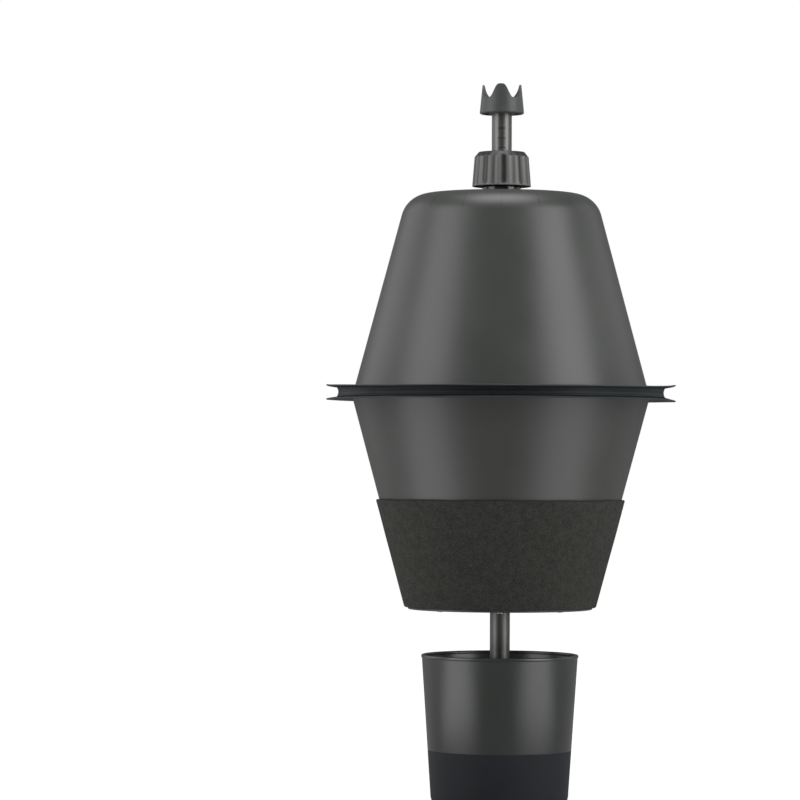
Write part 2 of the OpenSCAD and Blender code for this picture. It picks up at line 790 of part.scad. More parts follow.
// A wrapped sheet that follows the shell's cone, on a film of glue
module foam_band() {
    low = base_z + foam_rise;
    high = low + foam_h;
    inner = foam_glue_t / cos(lower_lean);
    outer = inner + foam_t / cos(lower_lean);
    color([0.22, 0.22, 0.21])
        rotate_extrude()
            polygon([[lower_outer(low) + inner, low], [lower_outer(low) + outer, low],
                [lower_outer(high) + outer, high], [lower_outer(high) + inner, high]]);
}

module bottom_plate() {
    color([0.25, 0.25, 0.25])
        difference() {
            union() {
                translate([0, 0, plate_z])
                    cylinder(r = plate_r, h = plate_t);
                translate([0, 0, plate_z])
                    cylinder(d = plate_boss_d, h = plate_boss_h);
                ring_of(plate_rib_count, 0, 180 / plate_screw_count)
                    translate([plate_boss_d / 2 - 1, -plate_rib_t / 2, plate_z + plate_t - 0.5])
                        cube([ledge_r - plate_boss_d / 2 - 2, plate_rib_t, plate_rib_h + 0.5]);
            }
            translate([0, 0, plate_z - cut])
                cylinder(r = gland_r, h = plate_boss_h + 2 * cut);
            ring_of(plate_screw_count, plate_screw_r)
                translate([0, 0, plate_z - cut])
                    cylinder(d = plate_screw_d + 2 * screw_clear, h = plate_t + 2 * cut);
            ring_of(3, cap_screw_r, front)
                translate([0, 0, plate_z - cut])
                    cylinder(d = cap_screw_d, h = cap_screw_l);
        }
}

module plate_gasket() {
    color([0.1, 0.1, 0.1])
        difference() {
            ring(plate_r, ledge_r, plate_top_z, plate_gasket_t);
            ring_of(plate_screw_count, plate_screw_r)
                translate([0, 0, plate_top_z - cut])
                    cylinder(d = plate_screw_d + 2 * screw_clear, h = plate_gasket_t + 2 * cut);
        }
}

module plate_screws() {
    color([0.6, 0.6, 0.58])
        ring_of(plate_screw_count, plate_screw_r)
            translate([0, 0, plate_z])
                rotate([180, 0, 0])
                    screw(plate_screw_d, plate_screw_l, plate_head_d, plate_head_h);
}

module lower_bush() {
    color([0.85, 0.85, 0.8])
        union() {
            ring(gland_r, tube_r + bush_clear, seal_top_z, boss_top_z - seal_top_z);
            ring(gland_r + bush_flange_w, tube_r + bush_clear, boss_top_z, bush_flange_t);
        }
}

module seal_cap() {
    color([0.25, 0.25, 0.25])
        difference() {
            ring(seal_cap_d / 2, tube_r + tube_free, plate_z - seal_cap_t, seal_cap_t);
            ring_of(3, cap_screw_r, front)
                translate([0, 0, plate_z - seal_cap_t - cut])
                    cylinder(d = cap_screw_d + 2 * screw_clear, h = seal_cap_t + 2 * cut);
        }
}

module seal_cap_screws() {
    color([0.6, 0.6, 0.58])
        ring_of(3, cap_screw_r, front)
            translate([0, 0, plate_z - seal_cap_t])
                rotate([180, 0, 0])
                    screw(cap_screw_d, cap_screw_l - cut + seal_cap_t, cap_screw_d * head_ratio,
                        cap_head_h);
}

module tube_seal() {
    color([0.1, 0.1, 0.1])
        ring(gland_r - seal_gap, tube_r + bush_clear, plate_z + seal_gap, seal_h);
}

// Flange, stem through the dome, and thread with a tapered seat for the collet
module threaded_collar() {
    seat_z = dome_z + collar_gasket_t;
    bush_r = tube_r + bush_clear + bush_wall;
    thread_r = thread_d / 2;
    color([0.14, 0.14, 0.14])
        rotate_extrude()
            polygon([[bush_r, stem_z], [stem_d / 2 - 1, stem_z], [stem_d / 2, stem_z + 1],
                [stem_d / 2, seat_z], [collar_d / 2, seat_z], [collar_d / 2, collar_top_z - 0.6],
                [collar_d / 2 - 0.6, collar_top_z], [thread_r, collar_top_z],
                [thread_r, nose_top_z - 1], [thread_r - 1, nose_top_z],
                [nose_top_r + nose_gap, nose_top_z],
                [tube_r + collet_clear + collet_tip_wall + nose_gap, nose_z],
                [tube_r + collet_clear + collet_tip_wall + nose_gap, nose_z - 1],
                [bush_r, nose_z - 2]]);
}

module collar_gasket() {
    color([0.1, 0.1, 0.1])
        ring(collar_d / 2 - 0.4, stem_d / 2, dome_z, collar_gasket_t);
}

module collar_washer() {
    color([0.6, 0.6, 0.58])
        ring(collar_nut_flats / 2 + 2.5, stem_d / 2, washer_z, collar_washer_t);
}

module collar_nut() {
    color([0.2, 0.2, 0.2])
        translate([0, 0, nut_z])
            difference() {
                cylinder(d = collar_nut_flats / cos(30), h = collar_nut_h, $fn = 6);
                translate([0, 0, -cut])
                    cylinder(d = stem_d, h = collar_nut_h + 2 * cut);
            }
}

module upper_bush() {
    bush_r = tube_r + bush_clear + bush_wall;
    color([0.85, 0.85, 0.8])
        union() {
            ring(bush_r, tube_r + bush_clear, stem_z, nose_z - 3 - stem_z);
            ring(bush_r + bush_flange_w, tube_r + bush_clear, stem_z - bush_flange_t, bush_flange_t);
        }
}

// Tapered nose, shoulder and neck, split by slots that stop short of the neck's top
module collet() {
    bore = tube_r + collet_clear;
    slot_top = roof_z + 2;
    color([0.5, 0.5, 0.49])
        difference() {
            rotate_extrude()
                polygon([[bore, nose_z], [bore + collet_tip_wall, nose_z], [nose_top_r, nose_top_z],
                    [collet_shoulder_d / 2, nose_top_z + nose_gap],
                    [collet_shoulder_d / 2, shoulder_top_z], [collet_neck_d / 2, shoulder_top_z],
                    [collet_neck_d / 2, collet_top_z - 0.5],
                    [collet_neck_d / 2 - 0.5, collet_top_z], [bore, collet_top_z]]);
            ring_of(slot_count, 0, diagonal)
                translate([0, -slot_w / 2, nose_z - cut])
                    cube([collet_shoulder_d, slot_w, slot_top - nose_z + cut]);
        }
}

// Fluted grip: each flute is a round scoop of one depth that leans with the side
module clamp_knob() {
    base_r = knob_base_d / 2;
    top_r = knob_top_d / 2;
    edge = 0.8;
    hub_wall = 3.5;
    skirt = 3;
    lean = atan((base_r - top_r) / (chamfer_z - edge));
    flute_z = knob_lip_h + sqrt(flute_depth * (2 * flute_r - flute_depth));
    flute_x = base_r - (flute_z - edge) * tan(lean) + (flute_r - flute_depth) / cos(lean);
    hollow_r = cavity_r + hub_wall;
    color([0.17, 0.17, 0.17])
        translate([0, 0, knob_z])
            difference() {
                rotate_extrude()
                    polygon([[neck_hole_r, 0], [base_r - edge, 0], [base_r, edge], [top_r, chamfer_z],
                        [knob_face_d / 2, knob_h], [neck_hole_r, knob_h]]);
                translate([0, 0, -cut])
                    cylinder(r = cavity_r, h = roof_z - knob_z + cut);
                ring(cavity_r + clip_groove, cavity_r - cut, clip_z - knob_z, clip_t);
                ring(base_r - skirt, hollow_r, -cut, knob_hollow + cut);
                ring_of(flute_count, flute_x, front + flute_turn)
                    translate([0, 0, flute_z]) {
                        sphere(r = flute_r);
                        rotate([0, -lean, 0])
                            cylinder(r = flute_r, h = 2 * knob_h);
                    }
            }
}

module knob_insert() {
    color([0.6, 0.6, 0.58])
        ring(cavity_r, thread_d / 2 + thread_clear, insert_z, insert_h);
}

module thrust_washer() {
    color([0.7, 0.7, 0.68])
        ring(cavity_r - thrust_gap, neck_hole_r, shoulder_top_z + thrust_gap, thrust_t);
}

// An open spring ring in a groove, which lifts the washer with the knob
module retaining_clip() {
    opening = 6;
    color([0.65, 0.65, 0.63])
        difference() {
            ring(cavity_r + clip_groove, clip_inner_r, clip_z, clip_t);
            translate([0, -opening / 2, clip_z - cut])
                cube([cavity_r * 2, opening, clip_t + 2 * cut]);
        }
}

module jack_socket() {
    color([0.2, 0.2, 0.2])
        difference() {
            union() {
                translate([0, jack_r, jack_seat_z - 0.1])
                    cylinder(d = bushing_d, h = spot_z + bushing_proud - jack_seat_z + 0.1);
                translate([-jack_box_w / 2, jack_r - jack_box_w / 2, board_z + board_t])
                    cube([jack_box_w, jack_box_w, jack_box_h]);
            }
            translate([0, jack_r, spot_z + bushing_proud - jack_depth])
                cylinder(d = jack_bore_d, h = jack_depth + cut);
        }
}

module jack_nut() {
    color([0.55, 0.55, 0.54])
        translate([0, jack_r, 0])
            ring(jack_nut_d / 2, bushing_d / 2, spot_z, jack_nut_h);
}

module pickup_board() {
    color([0.1, 0.3, 0.15])
        difference() {
            translate([-board_w / 2, board_y, board_z])
                cube([board_w, board_l, board_t]);
            for (side = [-1, 1])
                translate([side * board_hole_x, board_hole_y, board_z - cut])
                    cylinder(d = board_screw_d + screw_clear, h = board_t + 2 * cut);
        }
}

module board_screws() {
    color([0.6, 0.6, 0.58])
        for (side = [-1, 1])
            translate([side * board_hole_x, board_hole_y, board_z])
                rotate([180, 0, 0])
                    screw(board_screw_d, board_t + board_screw_reach, board_screw_d * head_ratio,
                        board_screw_d * head_h_ratio);
}

module mic_capsule() {
    color([0.7, 0.7, 0.7])
        translate([0, jack_r, board_z - mic_h])
            cylinder(d = mic_d, h = mic_h);
}

module mic_boot() {
    color([0.1, 0.1, 0.1])
        translate([0, jack_r, 0])
            ring(mic_d / 2 + boot_wall, mic_d / 2, board_z - mic_h - 1, mic_h + 1);
}

sound_tube();
crown_outlet();
cup_shell();
cup_band();
cup_hub();
hub_screws();
hub_grub_screws();
upper_shell();
lower_shell();
seam_gasket();
seam_screws();
seam_nuts();
bumper_ring();
foam_band();
bottom_plate();
plate_gasket();
plate_screws();
lower_bush();
seal_cap();
seal_cap_screws();
tube_seal();
threaded_collar();
collar_gasket();
collar_washer();
collar_nut();
upper_bush();
collet();
clamp_knob();
knob_insert();
thrust_washer();
retaining_clip();
jack_socket();
jack_nut();
pickup_board();
board_screws();
mic_capsule();
mic_boot();
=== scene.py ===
import math
import bpy
import numpy as np
from mathutils import Matrix, Vector


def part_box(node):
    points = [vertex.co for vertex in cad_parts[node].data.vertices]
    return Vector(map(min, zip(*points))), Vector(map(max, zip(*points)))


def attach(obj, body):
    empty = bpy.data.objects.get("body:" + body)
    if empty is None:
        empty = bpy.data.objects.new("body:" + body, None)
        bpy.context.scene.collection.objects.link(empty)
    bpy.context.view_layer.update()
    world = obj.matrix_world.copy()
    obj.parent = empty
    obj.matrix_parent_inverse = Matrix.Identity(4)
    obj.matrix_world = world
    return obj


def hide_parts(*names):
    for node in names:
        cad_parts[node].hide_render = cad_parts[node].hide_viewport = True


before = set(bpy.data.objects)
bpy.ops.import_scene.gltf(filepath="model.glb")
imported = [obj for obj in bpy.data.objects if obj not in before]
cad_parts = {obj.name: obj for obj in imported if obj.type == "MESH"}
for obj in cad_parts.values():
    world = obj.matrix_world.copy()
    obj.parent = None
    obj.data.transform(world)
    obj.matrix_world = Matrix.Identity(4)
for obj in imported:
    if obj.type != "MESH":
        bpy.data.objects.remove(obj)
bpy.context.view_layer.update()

# Practice mute for a large low brass instrument. Sizes below are in millimetres, and meshes are put
# down in metres. +Z runs up the tube, and the viewer stands on the -Y side.
mm = 0.001
print("frame loaded:", len(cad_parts), "parts")


def heights(part):
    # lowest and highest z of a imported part, in millimetres
    low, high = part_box(part)
    return low.z / mm, high.z / mm


def roundedOutline(corners, arcStep=9.0, hold=0.3):
    # A closed outline in the (r, z) half plane. Each corner is (r, z, fillet radius, spacing of the
    # straight that follows). A fillet is the arc that touches both sides of its corner; a point
    # held close to each of its ends keeps the flat beside it flat in smooth shading.
    count = len(corners)
    places = np.array([c[:2] for c in corners], float)
    starts, ends, arcs = [], [], []
    for i in range(count):
        here = places[i]
        back = places[i - 1] - here
        ahead = places[(i + 1) % count] - here
        backLength, aheadLength = np.linalg.norm(back), np.linalg.norm(ahead)
        back, ahead = back / backLength, ahead / aheadLength
        opening = math.acos(float(np.clip(back @ ahead, -1, 1)))
        radius = corners[i][2]
        reach = radius / math.tan(opening / 2)
        if radius <= 0 or abs(opening - math.pi) < 1e-4:
            starts.append(here)
            ends.append(here)
            arcs.append(here[None, :])
            continue
        middle = (back + ahead) / np.linalg.norm(back + ahead)
        centre = here + middle * radius / math.sin(opening / 2)
        first, last = here + back * reach, here + ahead * reach
        sweep = math.pi - opening
        steps = max(2, int(math.ceil(math.degrees(sweep) / arcStep)))
        part = np.linspace(0, 1, steps + 1)[:, None]
        spoke = (np.sin((1 - part) * sweep) * (first - centre)
                 + np.sin(part * sweep) * (last - centre)) / math.sin(sweep)
        starts.append(first)
        ends.append(last)
        arcs.append(centre + spoke)
    outline = []
    for i in range(count):
        outline.append(arcs[i])
        start, end = ends[i], starts[(i + 1) % count]
        length = float(np.linalg.norm(end - start))
        if length < 0.05:
            continue
        keep = min(hold, length * 0.25)
        pieces = max(1, int(round((length - 2 * keep) / corners[i][3])))
        along = np.concatenate([[keep], np.linspace(keep, length - keep, pieces + 1)[1:-1],
                                [length - keep]]) / length
        outline.append(start + along[:, None] * (end - start))
    return np.concatenate(outline)


def evenAngles(count):
    # once round in even steps, without the angle that closes the circle
    return np.linspace(0, 2 * math.pi, count, endpoint=False)


def anglesWithFine(count, centre, halfWidth, step):
    # evenly spaced angles, in radians, with a finer stretch round one direction given in degrees
    coarse = np.degrees(evenAngles(count))
    apart = (coarse - centre + 180) % 360 - 180
    fine = np.arange(-halfWidth, halfWidth + step / 2, step)
    return np.radians(np.sort((np.concatenate([apart[np.abs(apart) > halfWidth + step / 2],
                                               fine]) + centre) % 360))


def surfaceFromGrid(name, points):
    # points[i, j] is the place, in millimetres, at angle i round the axis and step j along the
    # outline. Four neighbours make a face; both ways the grid meets itself, so it has no edge.
    across, along, _ = points.shape
    i = np.arange(across)[:, None]
    j = np.arange(along)[None, :]
    iNext, jNext = (i + 1) % across, (j + 1) % along
    corners = [i * along + j, iNext * along + j, iNext * along + jNext, i * along + jNext]
    faces = np.stack(np.broadcast_arrays(*corners), axis=-1).reshape(-1, 4)
    mesh = bpy.data.meshes.new(name)
    mesh.vertices.add(across * along)
    mesh.vertices.foreach_set("co", (points * mm).astype(np.float32).ravel())
    mesh.loops.add(faces.size)
    mesh.loops.foreach_set("vertex_index", faces.astype(np.int32).ravel())
    mesh.polygons.add(len(faces))
    mesh.polygons.foreach_set("loop_start", np.arange(0, faces.size, 4, dtype=np.int32))
    mesh.update(calc_edges=True)
    mesh.validate()
    mesh.shade_smooth()
    piece = bpy.data.objects.new(name, mesh)
    bpy.context.scene.collection.objects.link(piece)
    return piece


def spin(name, outline, angles, shape=None):
    # a turned form: the outline's r and z at every angle, after shape(angle, r, z) has moved them
    angle = np.broadcast_to(angles[:, None], (len(angles), len(outline)))
    r = np.broadcast_to(outline[None, :, 0], angle.shape)
    z = np.broadcast_to(outline[None, :, 1], angle.shape)
    if shape:
        r, z = shape(angle, r, z)
    return surfaceFromGrid(name, np.stack([r * np.cos(angle), r * np.sin(angle), z], axis=-1))


def smoothStep(value, low, high):
    # 0 up to low and 1 from high on; between them three times the square less twice the cube
    part = np.clip((value - low) / (high - low), 0, 1)
    return part * part * (3 - 2 * part)


def fit(piece, body, slot, look, *parts):
    # puts the finish on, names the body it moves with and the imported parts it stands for
    piece.data.materials.append(look)
    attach(piece, body)
    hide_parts(*parts)


# Finishes. Almost the whole of a noise lies in noiseRange.
noiseRange = (0.3, 0.7)


def linearColour(hexCode):
    # sRGB to linear: a straight line close to black, above it a power of 2.4
    channels = [int(hexCode[k:k + 2], 16) / 255 for k in (1, 3, 5)]
    return [c / 12.92 if c <= 0.04045 else ((c + 0.055) / 1.055) ** 2.4 for c in channels] + [1.0]


def perMetre(size):
    # scale of a noise whose features are this many millimetres across
    return 1 / (size * mm)


def addNode(tree, kind, inputs=(), **settings):
    # One node with its settings. Its inputs are a list in the node's own order, or go by name or
    # number, and each is a value, or another node's output to link.
    node = tree.nodes.new("ShaderNode" + kind)
    for key, value in settings.items():
        setattr(node, key, value)
    for key, value in inputs.items() if isinstance(inputs, dict) else enumerate(inputs):
        if isinstance(value, bpy.types.NodeSocket):
            tree.links.new(value, node.inputs[key])
        else:
            node.inputs[key].default_value = value
    return node


def newMaterial(name):
    # an empty tree, and the place of a point on the piece, in metres, which the patterns read
    material = bpy.data.materials.new(name)
    material.use_nodes = True
    tree = material.node_tree
    tree.nodes.clear()
    return material, tree, addNode(tree, "TexCoord").outputs["Object"]


def tintByNoise(tree, shares, look):
    # Each noise adds its share to the tone, along a smooth step over its own range, so that no line
    # shows where it starts or ends. Tone 0 is the look's dark colour, and 1 the light one.
    tone = 0.0
    for noise, (low, high), share in shares:
        part = addNode(tree, "MapRange", [noise, low, high, 0.0, share],
                       interpolation_type="SMOOTHSTEP")
        tone = addNode(tree, "Math", [part.outputs[0], tone], operation="ADD").outputs[0]
    return addNode(tree, "Mix", {0: tone, 6: linearColour(look["dark"]),
                                 7: linearColour(look["light"])}, data_type="RGBA").outputs[2]


def distanceFromAxis(tree, axes):
    # the root of x squared plus y squared
    squareX = addNode(tree, "Math", [axes.outputs["X"], axes.outputs["X"]], operation="MULTIPLY")
    square = addNode(tree, "Math", [axes.outputs["Y"], axes.outputs["Y"], squareX.outputs[0]],
                     operation="MULTIPLY_ADD")
    return addNode(tree, "Math", [square.outputs[0]], operation="SQRT").outputs[0]


def distanceFromHalf(tree, value):
    # how far the part of a number behind its point lies from a half
    part = addNode(tree, "Math", [value], operation="FRACT")
    apart = addNode(tree, "Math", [part.outputs[0], -0.5], operation="ADD")
    return addNode(tree, "Math", [apart.outputs[0]], operation="ABSOLUTE").outputs[0]


def finishMaterial(tree, colour, gloss, height, look):
    # Joins the patterns to the shader: one noise makes the roughness uneven, and the height is a
    # bump of the look's depth in millimetres. What is the same all over is set on the shader.
    uneven = look.get("uneven", 0.03)
    rough = addNode(tree, "MapRange", [gloss, *noiseRange, look["roughness"] - uneven,
                                       look["roughness"] + uneven], interpolation_type="SMOOTHSTEP")
    bump = addNode(tree, "Bump", {"Height": height, "Distance": look["depth"] * mm,
                                  "Strength": 1.0})
    shader = addNode(tree, "BsdfPrincipled", {
        "Base Color": colour, "Roughness": rough.outputs[0], "Metallic": look.get("metallic", 0.0),
        "Specular IOR Level": look.get("specular", 0.5), "Sheen Weight": look.get("sheen", 0.0),
        "Coat Weight": look.get("coat", 0.0), "Coat Roughness": 0.2, "Normal": bump.outputs[0]})
    addNode(tree, "OutputMaterial", {"Surface": shader.outputs["BSDF"]})


def driftAndGrain(tree, place, look):
    # two noises: slow drifts, and a fine grain that stretch draws out along z or round it
    drawn = addNode(tree, "Mapping", {"Vector": place, "Scale": look.get("stretch", (1, 1, 1))})
    drift = addNode(tree, "TexNoise", {"Vector": place, "Scale": perMetre(look["driftSize"]),
                                       "Detail": 3.0})
    grain = addNode(tree, "TexNoise", {"Vector": drawn.outputs["Vector"],
                                       "Scale": perMetre(look["grainSize"]),
                                       "Detail": look.get("grainDetail", 2.0)})
    return drift.outputs["Fac"], grain.outputs["Fac"]


def plainFinish(name, look):
    # a moulded, turned or drawn surface: drifts of tone and gloss, and a grain in tone and bump
    material, tree, place = newMaterial(name)
    drift, grain = driftAndGrain(tree, place, look)
    colour = tintByNoise(tree, [(drift, noiseRange, 0.7), (grain, noiseRange, 0.3)], look)
    finishMaterial(tree, colour, drift, grain, look)
    return material


# Moulded ABS from a finely eroded tool: satin, with a soft broad highlight. The shell also shows
# faint sink lines where the ribs meet the inside of its shoulder, sunk as dents and darkened with
# painted shade; their places are in millimetres.
shellLook = {"dark": "#343634", "light": "#393B39", "roughness": 0.39, "uneven": 0.02,
             "driftSize": 90, "grainSize": 0.7, "grainDetail": 3.0, "depth": 0.010, "lines": 16,
             "lineShade": "#222423", "lineWidth": 1.0, "lineRadius": 97.0, "lineFrom": 599.0,
             "fadeIn": 5.0, "lineTo": 613.0, "fadeOut": 3.0, "lineSink": 4.0}


def mouldedShell(name, look):
    # A drift of tone and a fine grain, sunk along lines that run up the shoulder and darkened there
    # with painted shade. The angle round the axis is counted in ribs, and a line lies where that
    # count is a whole number.
    material, tree, place = newMaterial(name)
    drift, grain = driftAndGrain(tree, place, look)
    axes = addNode(tree, "SeparateXYZ", [place])
    angle = addNode(tree, "Math", [axes.outputs["Y"], axes.outputs["X"]], operation="ARCTAN2")
    ribs = addNode(tree, "Math", [angle.outputs[0], look["lines"] / (2 * math.pi), 0.5],
                   operation="MULTIPLY_ADD")
    lineShare = look["lineWidth"] / (2 * math.pi * look["lineRadius"] / look["lines"])
    away = distanceFromHalf(tree, ribs.outputs[0])
    line = addNode(tree, "MapRange", [away, 0.0, lineShare, 1.0, 0.0],
                   interpolation_type="SMOOTHSTEP").outputs[0]
    # the line fades in at its lower end and out at its upper one
    for start, length, atStart, atEnd in ((look["lineFrom"], look["fadeIn"], 0.0, 1.0),
                                          (look["lineTo"], look["fadeOut"], 1.0, 0.0)):
        fade = addNode(tree, "MapRange", [axes.outputs["Z"], start * mm, (start + length) * mm,
                                          atStart, atEnd], interpolation_type="SMOOTHSTEP")
        line = addNode(tree, "Math", [fade.outputs[0], line], operation="MULTIPLY").outputs[0]
    colour = tintByNoise(tree, [(drift, noiseRange, 1.0)], look)
    # the line's darker colour is painted shade in the sink's dent
    colour = addNode(tree, "Mix", {0: line, 6: colour, 7: linearColour(look["lineShade"])},
                     data_type="RGBA").outputs[2]
    height = addNode(tree, "Math", [line, -look["lineSink"], grain], operation="MULTIPLY_ADD")
    finishMaterial(tree, colour, drift, height.outputs[0], look)
    return material


# Closed-cell sponge rubber, skived from a block: dull, with a fine pepper of cut cells darkened
# with painted shade. Real cells are 0.3 mm; they are drawn 1 to 2 mm across so that they show.
foamLook = {"dark": "#2A2A28", "light": "#41413E", "poreShade": "#1C1C1B", "roughness": 0.92,
            "uneven": 0.04, "specular": 0.12, "cellSize": 1.1, "cellRange": (0.35, 0.65),
            "patchSize": 7, "poreSize": 1.76, "poreEdge": (0.10, 0.30), "poreSink": 0.8,
            "depth": 0.12}


def spongeFoam(name, look):
    # Fine cells and wider patches in the tone, and pits round the points of a cell pattern, sunk
    # and darkened with painted shade: a pit is whole up to the first distance of poreEdge and gone
    # at the second.
    material, tree, place = newMaterial(name)
    cell = addNode(tree, "TexNoise", {"Vector": place, "Scale": perMetre(look["cellSize"]),
                                      "Detail": 4.0, "Roughness": 0.6}).outputs["Fac"]
    patch = addNode(tree, "TexNoise", {"Vector": place, "Scale": perMetre(look["patchSize"]),
                                       "Detail": 3.0}).outputs["Fac"]
    pores = addNode(tree, "TexVoronoi", {"Vector": place, "Scale": perMetre(look["poreSize"])})
    pit = addNode(tree, "MapRange", [pores.outputs["Distance"], *look["poreEdge"], 1.0, 0.0],
                  interpolation_type="SMOOTHSTEP").outputs[0]
    colour = tintByNoise(tree, [(cell, look["cellRange"], 0.7), (patch, noiseRange, 0.3)], look)
    # the pits' dark colour is painted shade in the cut cells
    colour = addNode(tree, "Mix", {0: pit, 6: colour, 7: linearColour(look["poreShade"])},
                     data_type="RGBA").outputs[2]
    height = addNode(tree, "Math", [pit, -look["poreSink"], cell], operation="MULTIPLY_ADD")
    finishMaterial(tree, colour, cell, height.outputs[0], look)
    return material


# Drawn aluminium tube, brushed along its length and anodised dark grey: metal with soft streaks.
# The setting marks are cut in and filled with dark paint.
tubeLook = {"dark": "#595A59", "light": "#686967", "paint": "#3A3B3C", "roughness": 0.42,
            "uneven": 0.04, "metallic": 1.0, "streakSize": 0.8, "streakLength": 60, "depth": 0.006,
            "marksTop": 685.0, "markStep": 10.0, "markHeight": 0.8, "markWidth": 7.5, "marks": 7}


def anodisedTube(name, look):
    # A noise drawn out along the tube makes streaks. A mark is a short line on the front, repeated
    # up the tube, so the paint's mask is the product of five limits, each 0 or 1.
    material, tree, place = newMaterial(name)
    drawn = addNode(tree, "Mapping", {"Vector": place,
                                      "Scale": (1, 1, look["streakSize"] / look["streakLength"])})
    streak = addNode(tree, "TexNoise", {"Vector": drawn.outputs["Vector"], "Detail": 3.0,
                                        "Scale": perMetre(look["streakSize"])}).outputs["Fac"]
    axes = addNode(tree, "SeparateXYZ", [place])
    steps = addNode(tree, "Math", [axes.outputs["Z"], 1 / (look["markStep"] * mm),
                                   0.5 - look["marksTop"] / look["markStep"]],
                    operation="MULTIPLY_ADD")
    side = addNode(tree, "Math", [axes.outputs["X"]], operation="ABSOLUTE")
    lowest = look["marksTop"] - (look["marks"] - 0.5) * look["markStep"]
    mask = 1.0
    for value, limit, operation in (
            (distanceFromHalf(tree, steps.outputs[0]), look["markHeight"] / 2 / look["markStep"],
             "LESS_THAN"),
            (side.outputs[0], look["markWidth"] / 2 * mm, "LESS_THAN"),
            (axes.outputs["Y"], 0.0, "LESS_THAN"),
            (axes.outputs["Z"], lowest * mm, "GREATER_THAN"),
            (axes.outputs["Z"], (look["marksTop"] + 2) * mm, "LESS_THAN")):
        within = addNode(tree, "Math", [value, limit], operation=operation)
        mask = addNode(tree, "Math", [within.outputs[0], mask], operation="MULTIPLY").outputs[0]
    colour = tintByNoise(tree, [(streak, noiseRange, 1.0)], look)
    colour = addNode(tree, "Mix", {0: mask, 6: colour, 7: linearColour(look["paint"])},
                     data_type="RGBA").outputs[2]
    finishMaterial(tree, colour, streak, streak, look)
    return material


# Extruded rubber bumper: nearly black, satin, with fine lines drawn round it by the die.
bumperLook = {"dark": "#1B1F20", "light": "#3E4345", "roughness": 0.56, "uneven": 0.06,
              "specular": 0.2, "lineSize": 1.1, "driftSize": 60, "depth": 0.05}


def extrudedRubber(name, look):
    # distance from the axis and height stay, the angle is left out, so the noise makes rings
    material, tree, place = newMaterial(name)
    axes = addNode(tree, "SeparateXYZ", [place])
    rings = addNode(tree, "CombineXYZ", [distanceFromAxis(tree, axes), 0.0, axes.outputs["Z"]])
    line = addNode(tree, "TexNoise", {"Vector": rings.outputs[0], "Detail": 2.0,
                                      "Scale": perMetre(look["lineSize"])}).outputs["Fac"]
    drift = addNode(tree, "TexNoise", {"Vector": place, "Scale": perMetre(look["driftSize"]),
                                       "Detail": 2.0}).outputs["Fac"]
    colour = tintByNoise(tree, [(line, noiseRange, 1.0)], look)
    finishMaterial(tree, colour, drift, line, look)
    return material


shellAbs = mouldedShell("mouldedAbsShell", shellLook)
foam = spongeFoam("closedCellFoam", foamLook)
tubeMetal = anodisedTube("anodisedAluminium", tubeLook)
bumperRubber = extrudedRubber("extrudedRubber", bumperLook)
# The cup is the same ABS without sink lines
cupAbs = plainFinish("mouldedAbsCup", {
    "dark": "#232725", "light": "#282C2A", "roughness": 0.29, "specular": 0.68, "driftSize": 90,
    "uneven": 0.015, "grainSize": 0.7, "depth": 0.010})
# Firm moulded rubber, matte and dusty: a weak, wide highlight
crownRubber = plainFinish("mouldedRubberCrown", {
    "dark": "#353938", "light": "#3C403F", "roughness": 0.48, "driftSize": 14, "grainSize": 0.5,
    "depth": 0.02, "sheen": 0.06})
# Soft rubber sleeve, navy black, matte as it leaves the mould
bandRubber = plainFinish("softRubberBand", {
    "dark": "#1E2125", "light": "#24272C", "roughness": 0.62, "specular": 0.18, "driftSize": 40,
    "grainSize": 0.6, "depth": 0.015, "sheen": 0.06})
# The same ABS from a coarser tool, for what nobody sees: duller
innerAbs = plainFinish("mouldedAbsInner", {
    "dark": "#2A2B2A", "light": "#303130", "roughness": 0.44, "driftSize": 50, "grainSize": 0.6,
    "depth": 0.012})
# Polished moulding, nearly black: mirrors the lamps in two thin lines
collarGloss = plainFinish("glossAcetalCollar", {
    "dark": "#111212", "light": "#171818", "roughness": 0.16, "driftSize": 15, "grainSize": 0.9,
    "depth": 0.003, "uneven": 0.02})
# Turned acetal with the fine rings of the lathe
colletAcetal = plainFinish("turnedAcetalCollet", {
    "dark": "#6E6E69", "light": "#7D7D78", "roughness": 0.34, "driftSize": 8, "grainSize": 0.4,
    "depth": 0.012, "stretch": (0.15, 0.15, 1)})
# Zinc-plated steel: grey metal, a little cloudy
zincSteel = plainFinish("zincPlatedSteel", {
    "dark": "#A09F97", "light": "#BDBBB3", "roughness": 0.34, "driftSize": 2.5, "grainSize": 0.4,
    "depth": 0.006, "metallic": 1.0})
# Natural nylon, milky and waxy
nylon = plainFinish("naturalNylon", {
    "dark": "#CFCCBD", "light": "#DCDACC", "roughness": 0.42, "driftSize": 9, "grainSize": 0.5,
    "depth": 0.008})
# Cut sheet rubber for seals, dull black
sealRubber = plainFinish("sheetRubberSeal", {
    "dark": "#131313", "light": "#1C1C1C", "roughness": 0.70, "driftSize": 12, "grainSize": 0.6,
    "depth": 0.02})
# Circuit board laminate under green lacquer
laminate = plainFinish("lacqueredLaminate", {
    "dark": "#12402A", "light": "#1A5236", "roughness": 0.28, "driftSize": 6, "grainSize": 0.8,
    "depth": 0.01, "coat": 0.4})
# Drawn aluminium can of the microphone capsule
capsuleCan = plainFinish("drawnAluminiumCan", {
    "dark": "#9C9C9B", "light": "#B4B4B2", "roughness": 0.38, "driftSize": 4, "grainSize": 0.4,
    "depth": 0.006, "metallic": 1.0, "stretch": (1, 1, 0.2)})
# Moulded housing of the jack, glossy black
jackPlastic = plainFinish("glossMouldedJack", {
    "dark": "#0F0F10", "light": "#161617", "roughness": 0.24, "driftSize": 6, "grainSize": 0.6,
    "depth": 0.005})
print("finishes made")

